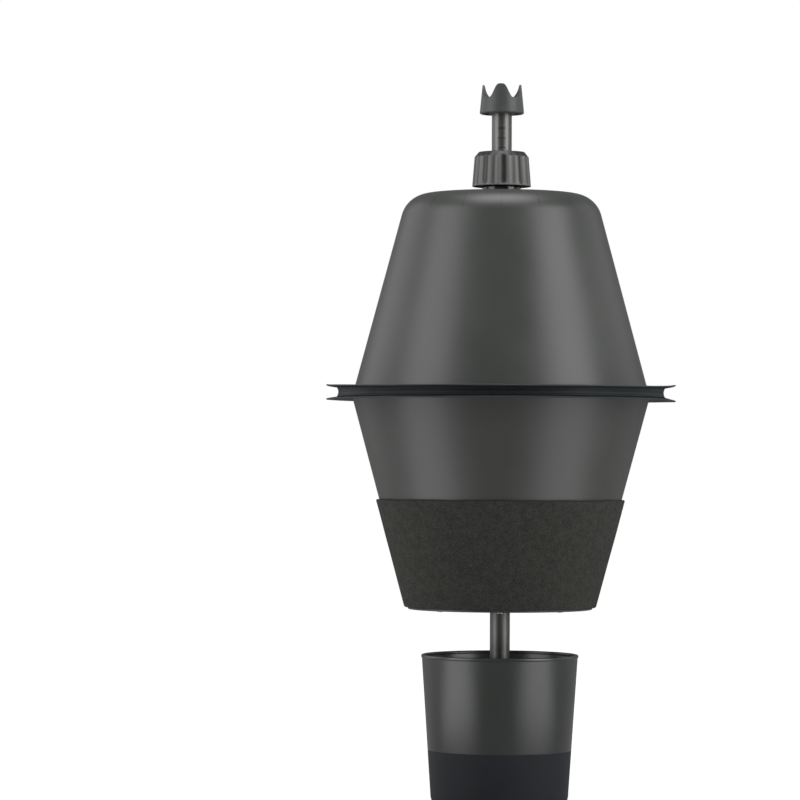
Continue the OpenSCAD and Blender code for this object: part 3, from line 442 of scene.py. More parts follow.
# Body shells: two cones that meet at the seam, where a gasket keeps their flanges apart
shellSize = {"seamRadius": 147.45, "lean": 15.04, "wall": 3.0, "shoulderRadius": 28.5,
             "domeFall": 1.5, "padRadius": 25.0, "stemRadius": 16.0, "bossRadius": 26.0,
             "bossDepth": 2.0, "flangeRadius": 158.4, "flangeThickness": 4.2,
             "spotCentre": 48.0, "spotRadius": 7.0, "spotDrop": 0.99, "spotEdge": 0.3}
seamHalf = 0.4  # half of the gasket's thickness
fitGap = 0.02  # how far a piece stands off the one that it is fitted on
seamHeight = heights("upper_shell")[0] - seamHalf
domeHeight = heights("upper_shell")[1]
baseHeight = heights("lower_shell")[0]
tanUpper = math.tan(math.radians(shellSize["lean"]))
tanFall = math.tan(math.radians(shellSize["domeFall"]))
wallUpper = shellSize["wall"] / math.cos(math.radians(shellSize["lean"]))


def upperRadius(z):
    # the upper cone's outside narrows evenly from the seam up
    return shellSize["seamRadius"] - (z - seamHeight) * tanUpper


def coneMeetsTop(sink, wall):
    # where the side, moved in by wall, meets the dome's top, moved down by sink
    top = domeHeight - sink + shellSize["padRadius"] * tanFall
    side = shellSize["seamRadius"] - wall + seamHeight * tanUpper
    r = (side - top * tanUpper) / (1 - tanUpper * tanFall)
    return r, top - r * tanFall


def dentSpot(angle, r, z):
    # the jack's seat: the dome's top is pressed level inside a circle on the back
    away = np.hypot(r * np.cos(angle), r * np.sin(angle) - shellSize["spotCentre"])
    level = domeHeight - shellSize["spotDrop"]
    inside = 1 - smoothStep(away, shellSize["spotRadius"] - shellSize["spotEdge"],
                            shellSize["spotRadius"] + shellSize["spotEdge"])
    outer = z > domeHeight - 2
    return r, np.where(outer, z + (np.minimum(z, level) - z) * inside, z)


flangeTop = seamHeight + seamHalf + shellSize["flangeThickness"]
bossFoot = domeHeight - shellSize["wall"] - shellSize["bossDepth"]
cornerOut = coneMeetsTop(0, 0)
cornerIn = coneMeetsTop(shellSize["wall"], wallUpper)
upperShell = spin("upperShell", roundedOutline([
    (upperRadius(seamHeight) - wallUpper, seamHeight + seamHalf, 0, 4),
    (shellSize["flangeRadius"], seamHeight + seamHalf, 0.3, 2),
    (shellSize["flangeRadius"], flangeTop, 0.3, 3),
    (upperRadius(flangeTop), flangeTop, 0.4, 6),
    (*cornerOut, shellSize["shoulderRadius"], 0.8),
    (shellSize["padRadius"], domeHeight, 20, 3),
    (shellSize["stemRadius"], domeHeight, 0.2, 3),
    (shellSize["stemRadius"], bossFoot, 0.2, 5),
    (shellSize["bossRadius"], bossFoot, 0.5, 3),
    (shellSize["bossRadius"] + 2, domeHeight - shellSize["wall"], 0.5, 8),
    (*cornerIn, shellSize["shoulderRadius"] - shellSize["wall"], 12)], arcStep=3.0, hold=0.4),
    anglesWithFine(180, 90, 10, 0.9), dentSpot)
fit(upperShell, "mute_body", "shell_plastic", shellAbs, "upper_shell")

lowerSize = {"baseRadius": 91.75, "seamStep": 2.35, "ledgeDepth": 5.0, "ledgeHeight": 3.0,
             "ledgeInner": 77.4, "spigotHeight": 8.0, "spigotGap": 0.2, "spigotWall": 2.4}
lowerTan = (shellSize["seamRadius"] + lowerSize["seamStep"] - lowerSize["baseRadius"]) \
    / (seamHeight - baseHeight)
wallLower = shellSize["wall"] * math.hypot(1, lowerTan)


def lowerRadius(z):
    # the lower cone's outside widens evenly from its base up
    return lowerSize["baseRadius"] + (z - baseHeight) * lowerTan


flangeFoot = seamHeight - seamHalf - shellSize["flangeThickness"]
ledge = baseHeight + lowerSize["ledgeDepth"]
ledgeTop = ledge + lowerSize["ledgeHeight"]
spigotTop = seamHeight + lowerSize["spigotHeight"]
spigotOut = upperRadius(spigotTop) - wallUpper - lowerSize["spigotGap"]
lowerShell = spin("lowerShell", roundedOutline([
    (lowerRadius(baseHeight) - wallLower, baseHeight, 0.5, 3),
    (lowerRadius(baseHeight), baseHeight, 0.6, 6),
    (lowerRadius(flangeFoot), flangeFoot, 0.4, 3),
    (shellSize["flangeRadius"], flangeFoot, 0.3, 2),
    (shellSize["flangeRadius"], seamHeight - seamHalf, 0.3, 3),
    (upperRadius(seamHeight) - wallUpper - lowerSize["spigotGap"], seamHeight - seamHalf, 0.2, 3),
    (spigotOut, spigotTop, 0.3, 2),
    (spigotOut - lowerSize["spigotWall"], spigotTop, 0.3, 4),
    (spigotOut - lowerSize["spigotWall"], seamHeight - 4, 1.0, 4),
    (lowerRadius(seamHeight - 16) - wallLower, seamHeight - 16, 4.0, 12),
    (lowerRadius(ledgeTop) - wallLower, ledgeTop, 1, 3),
    (lowerSize["ledgeInner"], ledgeTop, 0.4, 2),
    (lowerSize["ledgeInner"], ledge, 0.4, 3),
    (lowerRadius(ledge) - wallLower, ledge, 0.4, 2)]), evenAngles(192))
fit(lowerShell, "mute_body", "shell_plastic", shellAbs, "lower_shell")
print("body shells made")

# Bumper ring: an extrusion bent round the flanges, with a lip above and below a round groove
bumperSize = {"reach": 16.1, "thickness": 13.2, "flare": 1.6, "lipThickness": 1.2, "web": 4.1,
              "grooveRadius": 8.2, "grooveHeight": 9.6, "ridge": 0.18, "ridgeStep": 1.9,
              "wave": 0.25, "sag": 2.0, "rootSag": 1.2, "lift": 1.0, "droop": 0.3}
halfRing = bumperSize["thickness"] / 2
lipRound = bumperSize["lipThickness"] * 0.48  # just under a half, so the lip's tip is round
tipRadius = shellSize["flangeRadius"] + bumperSize["reach"]
webRadius = shellSize["flangeRadius"] + bumperSize["web"]
tipOuter = halfRing + bumperSize["flare"]
tipInner = tipOuter - bumperSize["lipThickness"]
grooveCentre = webRadius + bumperSize["grooveRadius"]
grooveHalf = bumperSize["grooveHeight"] / 2
grooveAngle = math.asin(grooveHalf / bumperSize["grooveRadius"])
grooveCorner = grooveCentre - bumperSize["grooveRadius"] * math.cos(grooveAngle)
# the groove's bottom is a circle's arc, so one corner with that radius stands between its tangents
grooveApex = grooveCentre - bumperSize["grooveRadius"] / math.cos(grooveAngle)


def ringLines(angle, r, z):
    # Fine raised lines in the groove, and a slow wave of the thin lips up and down. The upper lip
    # sags and the lower one lifts towards the front and back; on one side the lower lip droops.
    high = z - seamHeight
    inGroove = (np.abs(high) < grooveHalf) & (r > webRadius - 0.5) & (r < grooveCorner + 0.6)
    r = r + np.where(inGroove, bumperSize["ridge"]
                     * np.cos(2 * math.pi * high / bumperSize["ridgeStep"]), 0)
    lip = smoothStep(r, webRadius, tipRadius)
    wave = np.sin(3 * angle + 0.6) + 0.6 * np.sin(7 * angle + 2.1)
    towards = np.abs(np.sin(angle)) ** 0.7
    sag = (bumperSize["rootSag"] + bumperSize["sag"] * lip) * towards \
        * smoothStep(high, 0, grooveHalf)
    lift = (bumperSize["lift"] * towards - bumperSize["droop"] * (1 + np.cos(angle))) * lip
    moved = np.where(high > 0, -sag, lift)
    # where the ring lies on the upper cone, a lower edge is a wider one
    onCone = (high > halfRing - 0.6) & (r < shellSize["flangeRadius"] - 2)
    r = np.where(onCone, r + sag * tanUpper, r)
    return r, z + bumperSize["wave"] * lip * wave * np.sign(high) + moved


bumperRing = spin("bumperRing", roundedOutline([
    (lowerRadius(seamHeight - halfRing) + fitGap, seamHeight - halfRing, 0.3, 4),
    (webRadius, seamHeight - halfRing, 3, 2),
    (tipRadius, seamHeight - tipOuter, lipRound, 0.6),
    (tipRadius, seamHeight - tipInner, lipRound, 1.2),
    (grooveCorner, seamHeight - grooveHalf, 0.5, 0.4),
    (grooveApex, seamHeight, bumperSize["grooveRadius"], 0.4),
    (grooveCorner, seamHeight + grooveHalf, 0.5, 1.2),
    (tipRadius, seamHeight + tipInner, lipRound, 0.6),
    (tipRadius, seamHeight + tipOuter, lipRound, 2),
    (webRadius, seamHeight + halfRing, 3, 4),
    (upperRadius(seamHeight + halfRing) + fitGap, seamHeight + halfRing, 0.3, 2),
    (upperRadius(flangeTop) + fitGap, flangeTop, 0.3, 4),
    (shellSize["flangeRadius"], flangeTop, 0.2, 3),
    (shellSize["flangeRadius"], flangeFoot, 0.2, 4),
    (lowerRadius(flangeFoot) + fitGap, flangeFoot, 0.3, 2)], arcStep=6.0, hold=0.25),
    evenAngles(240), ringLines)
fit(bumperRing, "mute_body", "bumper_rubber", bumperRubber, "bumper_ring")

# Foam band: a sheet glued round the lower cone
foamSize = {"thickness": 3.4, "glue": 0.05, "topRound": 0.9, "footRound": 1.8, "swell": 0.22,
            "ragged": 0.18, "jointWidth": 0.5, "jointDepth": 1.1}
foamLow, foamHigh = heights("foam_band")
foamGlue = foamSize["glue"] * math.hypot(1, lowerTan)
foamAcross = foamGlue + foamSize["thickness"] * math.hypot(1, lowerTan)


def handCut(angle, r, z):
    # Soft sheet wrapped by hand: a slight swell and a ragged upper edge, both sums of sines that do
    # not repeat together, and the butt joint down the back, a bell curve across it.
    part = (r - lowerRadius(z)) / foamAcross
    outside = smoothStep(part, 0.5, 1.0)
    swell = np.sin(3 * angle + z / 31) + 0.6 * np.sin(7 * angle - z / 17) + 0.4 * np.sin(z / 9 + 2)
    away = (angle - math.pi / 2) * r
    joint = np.exp(-(away / foamSize["jointWidth"]) ** 2)
    r = r + outside * (foamSize["swell"] * (swell - 1.2) * 0.5 - foamSize["jointDepth"] * joint)
    edge = smoothStep(z, foamHigh - 3, foamHigh)
    ragged = np.sin(11 * angle + 0.7) + np.sin(23 * angle) / 1.5
    return r, z + edge * ragged * foamSize["ragged"]


foamBand = spin("foamBand", roundedOutline([
    (lowerRadius(foamLow) + foamGlue, foamLow, 0.3, 1.5),
    (lowerRadius(foamLow) + foamAcross, foamLow, foamSize["footRound"], 3),
    (lowerRadius(foamHigh) + foamAcross, foamHigh, foamSize["topRound"], 1),
    (lowerRadius(foamHigh) + foamGlue, foamHigh, 0.3, 10)], arcStep=15, hold=0.5),
    anglesWithFine(300, 90, 2, 0.12), handCut)
fit(foamBand, "mute_body", "band_foam", foam, "foam_band")
print("ring and foam made")

# Cup, open at the top with a bead round its rim, and the rubber band round its foot
cupSize = {"height": 159.6, "rimRadius": 78.5, "beadRadius": 1.6, "beadProud": 0.5, "lean": 3.77,
           "wall": 2.4, "bandHeight": 64.5, "bandThickness": 2.5, "footRound": 21.0,
           "footWidth": 9.0, "tubeRadius": 10.0}
tanCup = math.tan(math.radians(cupSize["lean"]))
cosCup = math.cos(math.radians(cupSize["lean"]))


def cupRadius(z, depth=0.0):
    # the cup's straight side at a height, moved in by a depth square to it
    return cupSize["rimRadius"] - cupSize["beadProud"] - (cupSize["height"] - z) * tanCup \
        - depth / cosCup


bandT, cupT = cupSize["bandThickness"], cupSize["wall"]
beadFoot = cupSize["height"] - 2 * cupSize["beadRadius"]
stepHeight = cupSize["bandHeight"]
footInner = cupRadius(cupSize["footRound"], cupSize["footRound"]) - cupSize["footWidth"]
beadInner = cupSize["rimRadius"] - 2 * cupSize["beadRadius"]
cupShell = spin("cupShell", roundedOutline([
    (cupSize["tubeRadius"] + fitGap, bandT, 0, 4),
    (cupRadius(bandT, bandT), bandT, cupSize["footRound"] - bandT, 5),
    (cupRadius(stepHeight, bandT), stepHeight, 0.2, 1),
    (cupRadius(stepHeight), stepHeight, 0.3, 5),
    (cupRadius(beadFoot), beadFoot, 0.6, 1),
    (cupSize["rimRadius"], beadFoot + 0.5, 0.5, 0.6),
    (cupSize["rimRadius"], cupSize["height"], 1.5, 0.6),
    (beadInner, cupSize["height"], 1.5, 0.6),
    (beadInner, beadFoot + 0.5, 0.5, 0.6),
    (cupRadius(beadFoot, cupT), beadFoot, 0.6, 5),
    (cupRadius(stepHeight + 8, cupT), stepHeight + 8, 3, 2),
    (cupRadius(stepHeight + 4, bandT + cupT), stepHeight + 4, 3, 5),
    (cupRadius(bandT + cupT, bandT + cupT), bandT + cupT, cupSize["footRound"] - bandT - cupT, 4),
    (cupSize["tubeRadius"] + fitGap, bandT + cupT, 0, 1)], arcStep=5.0), evenAngles(192))
fit(cupShell, "stem", "cup_plastic", cupAbs, "cup_shell")

cupBand = spin("cupBand", roundedOutline([
    (footInner, 0, 0.8, 3),
    (cupRadius(0), 0, cupSize["footRound"], 4),
    (cupRadius(stepHeight), stepHeight, 0.5, 1),
    (cupRadius(stepHeight, bandT) + fitGap, stepHeight, 0.2, 5),
    (cupRadius(bandT, bandT) + fitGap, bandT, cupSize["footRound"] - bandT, 3),
    (footInner, bandT, 0.8, 1)], arcStep=5.0), evenAngles(192))
fit(cupBand, "stem", "band_rubber", bandRubber, "cup_band")
print("cup made")

# Sound tube: plain, with the setting marks cut into its front
tubeSize = {"radius": 10.0, "wall": 1.5, "edge": 0.25, "markDepth": 0.25, "markEdge": 0.06}
tubeLow, tubeHigh = heights("sound_tube")
markHeights = tubeLook["marksTop"] - tubeLook["markStep"] * np.arange(tubeLook["marks"])
markHalf = tubeLook["markHeight"] / 2


def cutMarks(angle, r, z):
    # Lines sunk into the front of the tube: full depth where the nearest mark's middle is less than
    # half a mark away, and a smooth step up at its edge.
    steps = (z - tubeLook["marksTop"]) / tubeLook["markStep"]
    near = np.abs(steps - np.round(steps)) * tubeLook["markStep"]
    inRange = (z > markHeights[-1] - 2) & (z < markHeights[0] + 2) & (r > tubeSize["radius"] - 0.5)
    across = np.abs(r * np.cos(angle)) < tubeLook["markWidth"] / 2
    cut = inRange & across & (np.sin(angle) < 0)
    inMark = 1 - smoothStep(near, markHalf - tubeSize["markEdge"], markHalf + tubeSize["markEdge"])
    return r - np.where(cut, tubeSize["markDepth"] * inMark, 0), z


# plain rows 20 mm apart, and for each mark its middle, both its edges and the tube beside them
plainRows = np.arange(tubeLow + 20, markHeights[-1] - 4, 20)
markRows = (markHeights[:, None] + np.array([-0.6, -0.46, -0.34, 0, 0.34, 0.46, 0.6])).ravel()
outerRows = np.unique(np.concatenate([plainRows, markRows, [tubeLow + 0.6, tubeHigh - 0.6]]))
bore = tubeSize["radius"] - tubeSize["wall"]
edge = tubeSize["edge"]
tubeOutline = np.array(
    [[bore + edge, tubeLow], [tubeSize["radius"] - edge, tubeLow],
     [tubeSize["radius"] - edge * 0.3, tubeLow + edge * 0.3], [tubeSize["radius"], tubeLow + edge]]
    + [[tubeSize["radius"], z] for z in outerRows]
    + [[tubeSize["radius"], tubeHigh - edge], [tubeSize["radius"] - edge, tubeHigh],
       [bore + edge, tubeHigh], [bore, tubeHigh - edge], [bore, tubeHigh - 0.8]]
    + [[bore, z] for z in np.linspace(tubeHigh - 40, tubeLow + 40, 12)]
    + [[bore, tubeLow + 0.8], [bore, tubeLow + edge]])
soundTube = spin("soundTube", tubeOutline, anglesWithFine(96, 270, 30, 1.25), cutMarks)
fit(soundTube, "stem", "tube_metal", tubeMetal, "sound_tube")

# Crown: a rubber outlet with a ball-shaped bowl, whose edge rises in four prongs
crownSize = {"footRadius": 22.3, "tipRadius": 19.45, "height": 29.2, "prongHeight": 13.9,
             "prongs": 4, "roundTop": 1.87, "steepness": 2.5, "turn": -3.0, "rimRound": 0.35,
             "bowlRadius": 17.5, "bowlDrop": 2.0, "socket": 6.0, "edgeRound": 1.5, "hollow": 4.0,
             "skirt": 2.0, "hubWall": 2.5, "rows": 34}
crownFoot = heights("crown_outlet")[0]
valley = crownSize["height"] - crownSize["prongHeight"]
slope = (crownSize["footRadius"] - crownSize["tipRadius"]) / crownSize["height"]
bowlMiddle = crownSize["height"] - crownSize["bowlDrop"]


def crownOuter(z):
    # the outside narrows evenly from the foot up
    return crownSize["footRadius"] - z * slope


def crownInner(z):
    # the bowl is part of a sphere, whose centre lies on the axis just below the tips
    return np.sqrt(crownSize["bowlRadius"] ** 2 - (z - bowlMiddle) ** 2)


def crownGrid(angles):
    # Height of the edge at each angle: a squared cosine falls from each valley, one power of it
    # rounds the prong's top and a power of the rest steepens its sides. The grid then runs once
    # round the wall: underside, outside, over the edge, down the bowl, and through the socket.
    turned = angles - math.radians(270 + crownSize["turn"] + 180 / crownSize["prongs"])
    fall = np.cos(crownSize["prongs"] / 2 * turned) ** 2
    rise = (1 - fall ** crownSize["roundTop"]) ** crownSize["steepness"]
    edgeZ = valley + crownSize["prongHeight"] * rise
    tubeR = cupSize["tubeRadius"] + fitGap
    foot = roundedOutline([
        (tubeR, 0, 0, 2), (crownSize["footRadius"], 0, crownSize["edgeRound"], 60),
        (crownOuter(valley - 1), valley - 1, 0, 60), (tubeR, valley - 1, 0, 60)], arcStep=15)
    # of that outline only the rounding at the foot's outer edge is kept
    rounded = foot[(foot[:, 0] > crownSize["footRadius"] - 1.8) & (foot[:, 1] < 1.7)]
    hub, skirt = tubeR + crownSize["hubWall"], crownSize["footRadius"] - crownSize["skirt"]
    hollow = crownSize["hollow"]
    under = np.array([[tubeR, 0], [hub - 0.3, 0], [hub, 0.3], [hub, hollow - 0.5],
                      [hub + 0.5, hollow], [skirt - 0.8, hollow], [skirt, hollow - 0.8],
                      [skirt, 0.4], [skirt + 0.25, 0.0]])
    lift = np.linspace(0.03, 1, crownSize["rows"])[None, :]
    low = float(rounded[-1, 1])
    rimR = crownSize["rimRound"]
    wallTop = edgeZ[:, None] - rimR
    outerZ = low + (wallTop - low) * lift
    # down the bowl in even steps of the angle seen from the sphere's centre
    boreAngle = -math.acos(bore / crownSize["bowlRadius"])
    topAngle = np.arcsin((wallTop - bowlMiddle) / crownSize["bowlRadius"])
    bowlAngle = boreAngle + (topAngle - boreAngle) * lift[:, ::-1]
    innerR = crownSize["bowlRadius"] * np.cos(bowlAngle)
    innerZ = bowlMiddle + crownSize["bowlRadius"] * np.sin(bowlAngle)
    # over the edge: a flat cut face with a small rounding at both of its sides
    outerTop, innerTop = crownOuter(wallTop), crownInner(wallTop)
    bend = np.linspace(0, math.pi / 2, 5)[None, 1:]
    overOut = outerTop - rimR * (1 - np.cos(bend))
    overIn = innerTop + rimR * (1 - np.cos(bend[:, ::-1]))
    across = np.linspace(0, 1, 7)[None, 1:-1]
    overFlat = overOut[:, -1:] + (overIn[:, :1] - overOut[:, -1:]) * across
    rimRadii = np.concatenate([overOut, overFlat, overIn], axis=1)
    rimZ = wallTop + rimR * np.concatenate([np.sin(bend), np.ones_like(across),
                                            np.sin(bend[:, ::-1])], axis=1)
    inside = np.array([[bore, 10.0], [bore, crownSize["socket"] + fitGap],
                       [tubeR - fitGap, crownSize["socket"] + fitGap],
                       [tubeR, crownSize["socket"] - 0.2], [tubeR, 0.3]])

    def same(fixed):  # what has one outline at every angle
        return np.broadcast_to(fixed[None], (len(angles), len(fixed), 2))

    flat = np.concatenate([
        same(under), same(rounded), np.stack([crownOuter(outerZ), outerZ], -1),
        np.stack([rimRadii, rimZ], -1), np.stack([innerR, innerZ], -1), same(inside)], axis=1)
    return np.stack([flat[..., 0] * np.cos(angles)[:, None], flat[..., 0] * np.sin(angles)[:, None],
                     flat[..., 1] + crownFoot], axis=-1)


crownOutlet = surfaceFromGrid("crownOutlet", crownGrid(evenAngles(288)))
fit(crownOutlet, "stem", "crown_rubber", crownRubber, "crown_outlet")
print("tube and crown made")

# Clamp knob: a tapered grip with flutes down its side and a chamfer on top
knobSize = {"footRadius": 29.5, "topRadius": 27.2, "faceRadius": 23.0, "height": 34.5,
            "chamfer": 5.0, "sideStart": 0.8, "lip": 2.0, "flutes": 18, "turn": 3.8,
            "fluteRadius": 6.0, "fluteDepth": 1.15, "shallowRadius": 3.8, "shallowDepth": 0.4,
            "soften": 1.1, "neckHole": 14.2, "cavity": 19.48, "cavityWall": 3.5, "roof": 9.0,
            "hollow": 6.0, "rim": 3.0}
knobFoot = heights("clamp_knob")[0]
chamferZ = knobSize["height"] - knobSize["chamfer"]
sideLean = (knobSize["footRadius"] - knobSize["topRadius"]) / (chamferZ - knobSize["sideStart"])
# Moulded ABS grip: the ridges carry the pale tone, the flutes between them are darkened with
# painted shade, and the top face is darker
gripLook = {"flute": "#151615", "ridge": "#646563", "face": "#202120", "roughness": 0.45,
            "shadeDepth": 0.15, "driftSize": 20, "grainSize": 0.5, "depth": 0.008}


def gripWithFluteShade(name, look):
    # The tone follows how far the surface lies inside the knob's straight side, which is the sum of
    # its distance from the axis and its height times the lean: pale on a ridge, and dark in a flute
    # as painted shade.
    material, tree, place = newMaterial(name)
    drift, grain = driftAndGrain(tree, place, look)
    axes = addNode(tree, "SeparateXYZ", [place])
    side = addNode(tree, "Math", [axes.outputs["Z"], sideLean, distanceFromAxis(tree, axes)],
                   operation="MULTIPLY_ADD")
    level = knobSize["footRadius"] + (knobFoot + knobSize["sideStart"]) * sideLean
    # the flutes' dark colour is painted shade; the ridges take the grip's pale tone
    colour = linearColour(look["flute"])
    for value, low, high, other in (
            (side.outputs[0], level - knobSize["fluteDepth"], level - look["shadeDepth"], "ridge"),
            (axes.outputs["Z"], knobFoot + chamferZ - 0.2, knobFoot + chamferZ + 0.4, "face")):
        there = addNode(tree, "MapRange", [value, low * mm, high * mm, 0.0, 1.0],
                        interpolation_type="SMOOTHSTEP")
        colour = addNode(tree, "Mix", {0: there.outputs[0], 6: colour,
                                       7: linearColour(look[other])}, data_type="RGBA").outputs[2]
    finishMaterial(tree, colour, drift, grain, look)
    return material


knobAbs = gripWithFluteShade("mouldedAbsGrip", gripLook)


def fluteSides(angle, r, z):
    # Each flute is a round bar's print: its axis leans with the side at one distance from it, and
    # its lower end is a ball. Where bar or ball is nearer the axis than the side is, the side moves
    # in; a smooth minimum rounds the edge between them, and the ball stands lower by that rounding.
    # Every second flute is a shallow one, as in the photograph.
    high = z - knobFoot
    step = 2 * math.pi / knobSize["flutes"]
    turned = angle - math.radians(270 + knobSize["turn"])
    count = np.round(turned / step)
    off = turned - step * count
    deep = np.mod(count, 2) < 0.5
    radius = np.where(deep, knobSize["fluteRadius"], knobSize["shallowRadius"])
    depth = np.where(deep, knobSize["fluteDepth"], knobSize["shallowDepth"])
    ballZ = knobSize["lip"] - knobSize["soften"] + np.sqrt(depth * (2 * radius - depth))
    centre = knobSize["footRadius"] - (high - knobSize["sideStart"]) * sideLean \
        + (radius - depth) * math.hypot(1, sideLean)
    below = np.minimum(high - ballZ, 0)
    inside = radius ** 2 - (centre * np.sin(off)) ** 2 - below ** 2
    flute = np.where(inside > 0, centre * np.cos(off) - np.sqrt(np.maximum(inside, 0)), r + 9)
    soft = knobSize["soften"]
    mixed = 0.5 * (r + flute - np.sqrt((r - flute) ** 2 + soft ** 2))
    fluted = (r > knobSize["faceRadius"] - 1) & (high > 0.7) & (high < knobSize["height"] - 0.02)
    return np.where(fluted, np.minimum(mixed, r), r), z


knobCore = knobSize["cavity"] + knobSize["cavityWall"]
knobRim = knobSize["footRadius"] - knobSize["rim"]
knobCorners = [
    (knobSize["cavity"], 0, 0.3, 2), (knobCore, 0, 0.3, 2), (knobCore, knobSize["hollow"], 0.6, 2),
    (knobRim, knobSize["hollow"], 0.6, 2), (knobRim, 0, 0.4, 1),
    (knobSize["footRadius"], 0, 0.7, 0.8), (knobSize["topRadius"], chamferZ, 0.35, 0.5),
    (knobSize["faceRadius"], knobSize["height"], 0.5, 1.5),
    (knobSize["neckHole"], knobSize["height"], 0.4, 2),
    (knobSize["neckHole"], knobSize["height"] - knobSize["roof"], 0.2, 2),
    (knobSize["cavity"], knobSize["height"] - knobSize["roof"], 0.3, 4)]
clampKnob = spin("clampKnob", roundedOutline(
    [(r, z + knobFoot, fillet, spacing) for r, z, fillet, spacing in knobCorners],
    arcStep=12, hold=0.15), evenAngles(360), fluteSides)
fit(clampKnob, "knob", "knob_plastic", knobAbs, "clamp_knob")
print("knob made")

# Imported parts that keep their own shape
partFinishes = [
    (innerAbs, ["cup_hub", "bottom_plate", "seal_cap", "collar_nut"]),
    (zincSteel, ["hub_screws", "hub_grub_screws", "seam_screws", "seam_nuts", "plate_screws",
                 "seal_cap_screws", "collar_washer", "knob_insert", "thrust_washer",
                 "retaining_clip", "jack_nut", "board_screws"]),
    (sealRubber, ["seam_gasket", "plate_gasket", "tube_seal", "collar_gasket", "mic_boot"]),
    (nylon, ["lower_bush", "upper_bush"]), (collarGloss, ["threaded_collar"]),
    (colletAcetal, ["collet"]), (jackPlastic, ["jack_socket"]), (laminate, ["pickup_board"]),
    (capsuleCan, ["mic_capsule"])]
for look, parts in partFinishes:
    for part in parts:
        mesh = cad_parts[part].data
        mesh.materials.clear()
        mesh.materials.append(look)
print("packed parts finished:", sum(len(parts) for _, parts in partFinishes))

# Studio paper: diffuse, lifted to white for what looks straight at it or through something, and a
# little for what mirrors it, because the real mute mirrors a dim room. Beyond the lamps' reach it
# is lifted further, so that no horizon shows; near the mute its shadow stays. Distances in metres.
stageSize = {"floor": 60.0, "floorLight": "#858482", "floorDark": "#807F7D", "selfLight": 0.86,
             "lampsFrom": 0.5, "lampsTo": 1.6, "mirrored": 0.14, "fibreSize": 3.0}
floorMesh = bpy.data.meshes.new("floor")
reach = stageSize["floor"]
floorMesh.from_pydata([(-reach, -reach, 0), (reach, -reach, 0), (reach, reach, 0),
                       (-reach, reach, 0)], [], [(0, 1, 2, 3)])
floor = bpy.data.objects.new("floor", floorMesh)
bpy.context.scene.collection.objects.link(floor)
paper, tree, place = newMaterial("studioPaper")
rays = addNode(tree, "LightPath")
seen = addNode(tree, "Math", [rays.outputs["Is Camera Ray"], rays.outputs["Is Transmission Ray"]],
               operation="MAXIMUM")
away = addNode(tree, "VectorMath", [place], operation="LENGTH")
selfLight = addNode(tree, "MapRange", [away.outputs["Value"], stageSize["lampsFrom"],
                                       stageSize["lampsTo"], stageSize["selfLight"], 1.0],
                    interpolation_type="SMOOTHSTEP")
direct = addNode(tree, "Math", [seen.outputs[0], selfLight.outputs[0]], operation="MULTIPLY")
lift = addNode(tree, "Math", [rays.outputs["Is Glossy Ray"], stageSize["mirrored"],
                              direct.outputs[0]], operation="MULTIPLY_ADD")
fibre = addNode(tree, "TexNoise", {"Vector": place, "Scale": perMetre(stageSize["fibreSize"]),
                                   "Detail": 2.0})
tone = addNode(tree, "Mix", {0: fibre.outputs["Fac"], 6: linearColour(stageSize["floorDark"]),
                             7: linearColour(stageSize["floorLight"])}, data_type="RGBA")
matte = addNode(tree, "BsdfDiffuse", {"Color": tone.outputs[2]})
glow = addNode(tree, "Emission", {"Color": (1, 1, 1, 1), "Strength": lift.outputs[0]})
both = addNode(tree, "AddShader", [matte.outputs[0], glow.outputs[0]])
addNode(tree, "OutputMaterial", {"Surface": both.outputs[0]})
floorMesh.materials.append(paper)

# The room round it: white where it is looked at, dim in reflections, almost dark as a light
worldLook = {"ambient": 0.03, "mirrored": 0.19}
world = bpy.data.worlds.new("studio")
bpy.context.scene.world = world
world.use_nodes = True
tree = world.node_tree
tree.nodes.clear()
rays = addNode(tree, "LightPath")
mirror = addNode(tree, "Math", [rays.outputs["Is Glossy Ray"], worldLook["mirrored"]],
                 operation="MULTIPLY")
level = worldLook["ambient"]
for other in (rays.outputs["Is Camera Ray"], rays.outputs["Is Transmission Ray"],
              mirror.outputs[0]):
    level = addNode(tree, "Math", [other, level], operation="MAXIMUM").outputs[0]
sky = addNode(tree, "Background", {"Color": (1, 1, 1, 1), "Strength": level})
addNode(tree, "OutputWorld", {"Surface": sky.outputs[0]})

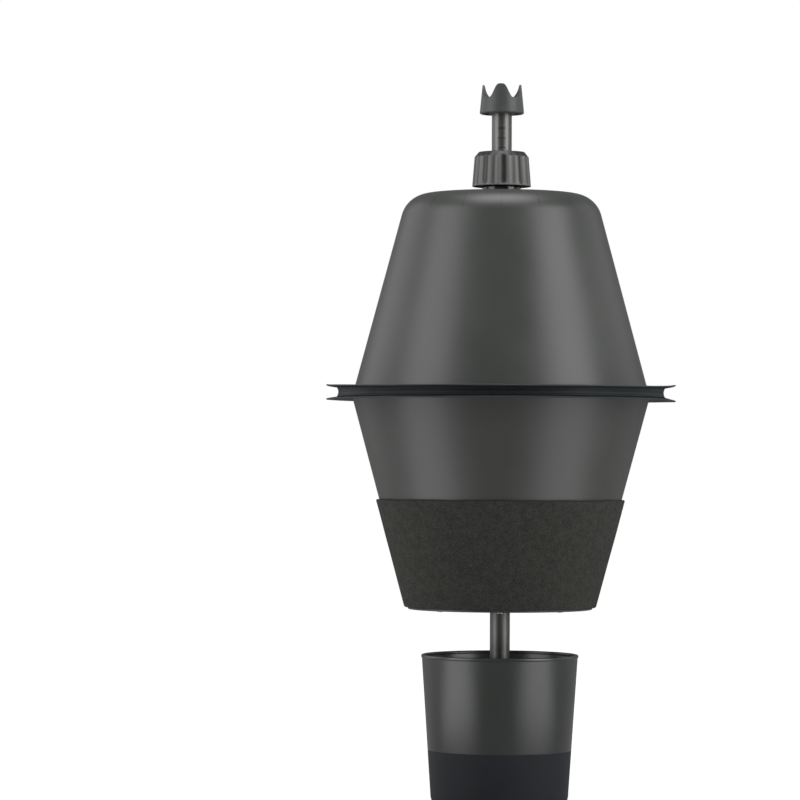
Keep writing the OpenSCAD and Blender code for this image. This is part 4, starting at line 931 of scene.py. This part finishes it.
# Tall softboxes at the sides and behind, one overhead, and two panels lying low beside the mute,
# which the sides that face down mirror. Each has its azimuth in degrees from the viewer's side, its
# distance, height and size in metres, and its watts.
tallSize, backSize, panelSize = (1.6, 2.2), (1.6, 2.0), (0.6, 0.9)
softboxes = {
    "leftSoftbox": (-64, 2.2, 1.15, tallSize, 36), "rightSoftbox": (60, 2.2, 1.15, tallSize, 46),
    "leftBackSoftbox": (-118, 2.2, 1.0, backSize, 11),
    "rightBackSoftbox": (118, 2.2, 1.0, backSize, 5.5),
    "leftPanel": (-64, 0.85, 0.02, panelSize, 3.9), "rightPanel": (56, 0.85, 0.02, panelSize, 3.3),
    "topSoftbox": (0, 0.35, 2.6, (1.6, 1.4), 36)}
target = Vector((0, 0, 0.40))  # what the softboxes point at
for name, (azimuth, distance, height, size, watts) in softboxes.items():
    lamp = bpy.data.lights.new(name, "AREA")
    lamp.shape = "RECTANGLE"
    lamp.size, lamp.size_y = size
    lamp.energy = watts
    light = bpy.data.objects.new(name, lamp)
    turn = math.radians(azimuth)
    light.location = (distance * math.sin(turn), -distance * math.cos(turn), height)
    if size == panelSize:  # a panel lies flat, its length towards the mute, and shines up
        light.rotation_euler = (math.pi, 0, turn)
    else:
        light.rotation_euler = (light.location - target).to_track_quat("Z", "Y").to_euler()
    light.visible_camera = False
    bpy.context.scene.collection.objects.link(light)

# The camera stands where the photograph's did; its lens gives focalPixels in a frame that is
# framePixels wide
cameraLook = {"focalPixels": 3700, "framePixels": 800, "distance": 3.7, "height": 0.357,
              "yaw": 1.56, "pitch": 0.87, "roll": 0.25}
cameraData = bpy.data.cameras.new("camera")
cameraData.sensor_width = 36
cameraData.lens = cameraLook["focalPixels"] / cameraLook["framePixels"] * cameraData.sensor_width
cameraData.clip_end = 200
camera = bpy.data.objects.new("camera", cameraData)
turnMatrix = Matrix.Rotation(math.radians(cameraLook["yaw"]), 4, "Z") \
    @ Matrix.Rotation(math.radians(90 + cameraLook["pitch"]), 4, "X") \
    @ Matrix.Rotation(math.radians(cameraLook["roll"]), 4, "Z")
cameraPlace = Matrix.Translation((0, -cameraLook["distance"], cameraLook["height"]))
camera.matrix_world = cameraPlace @ turnMatrix
bpy.context.scene.collection.objects.link(camera)
bpy.context.scene.camera = camera
bpy.context.scene.view_settings.view_transform = "Standard"
print("stage, light and camera set")
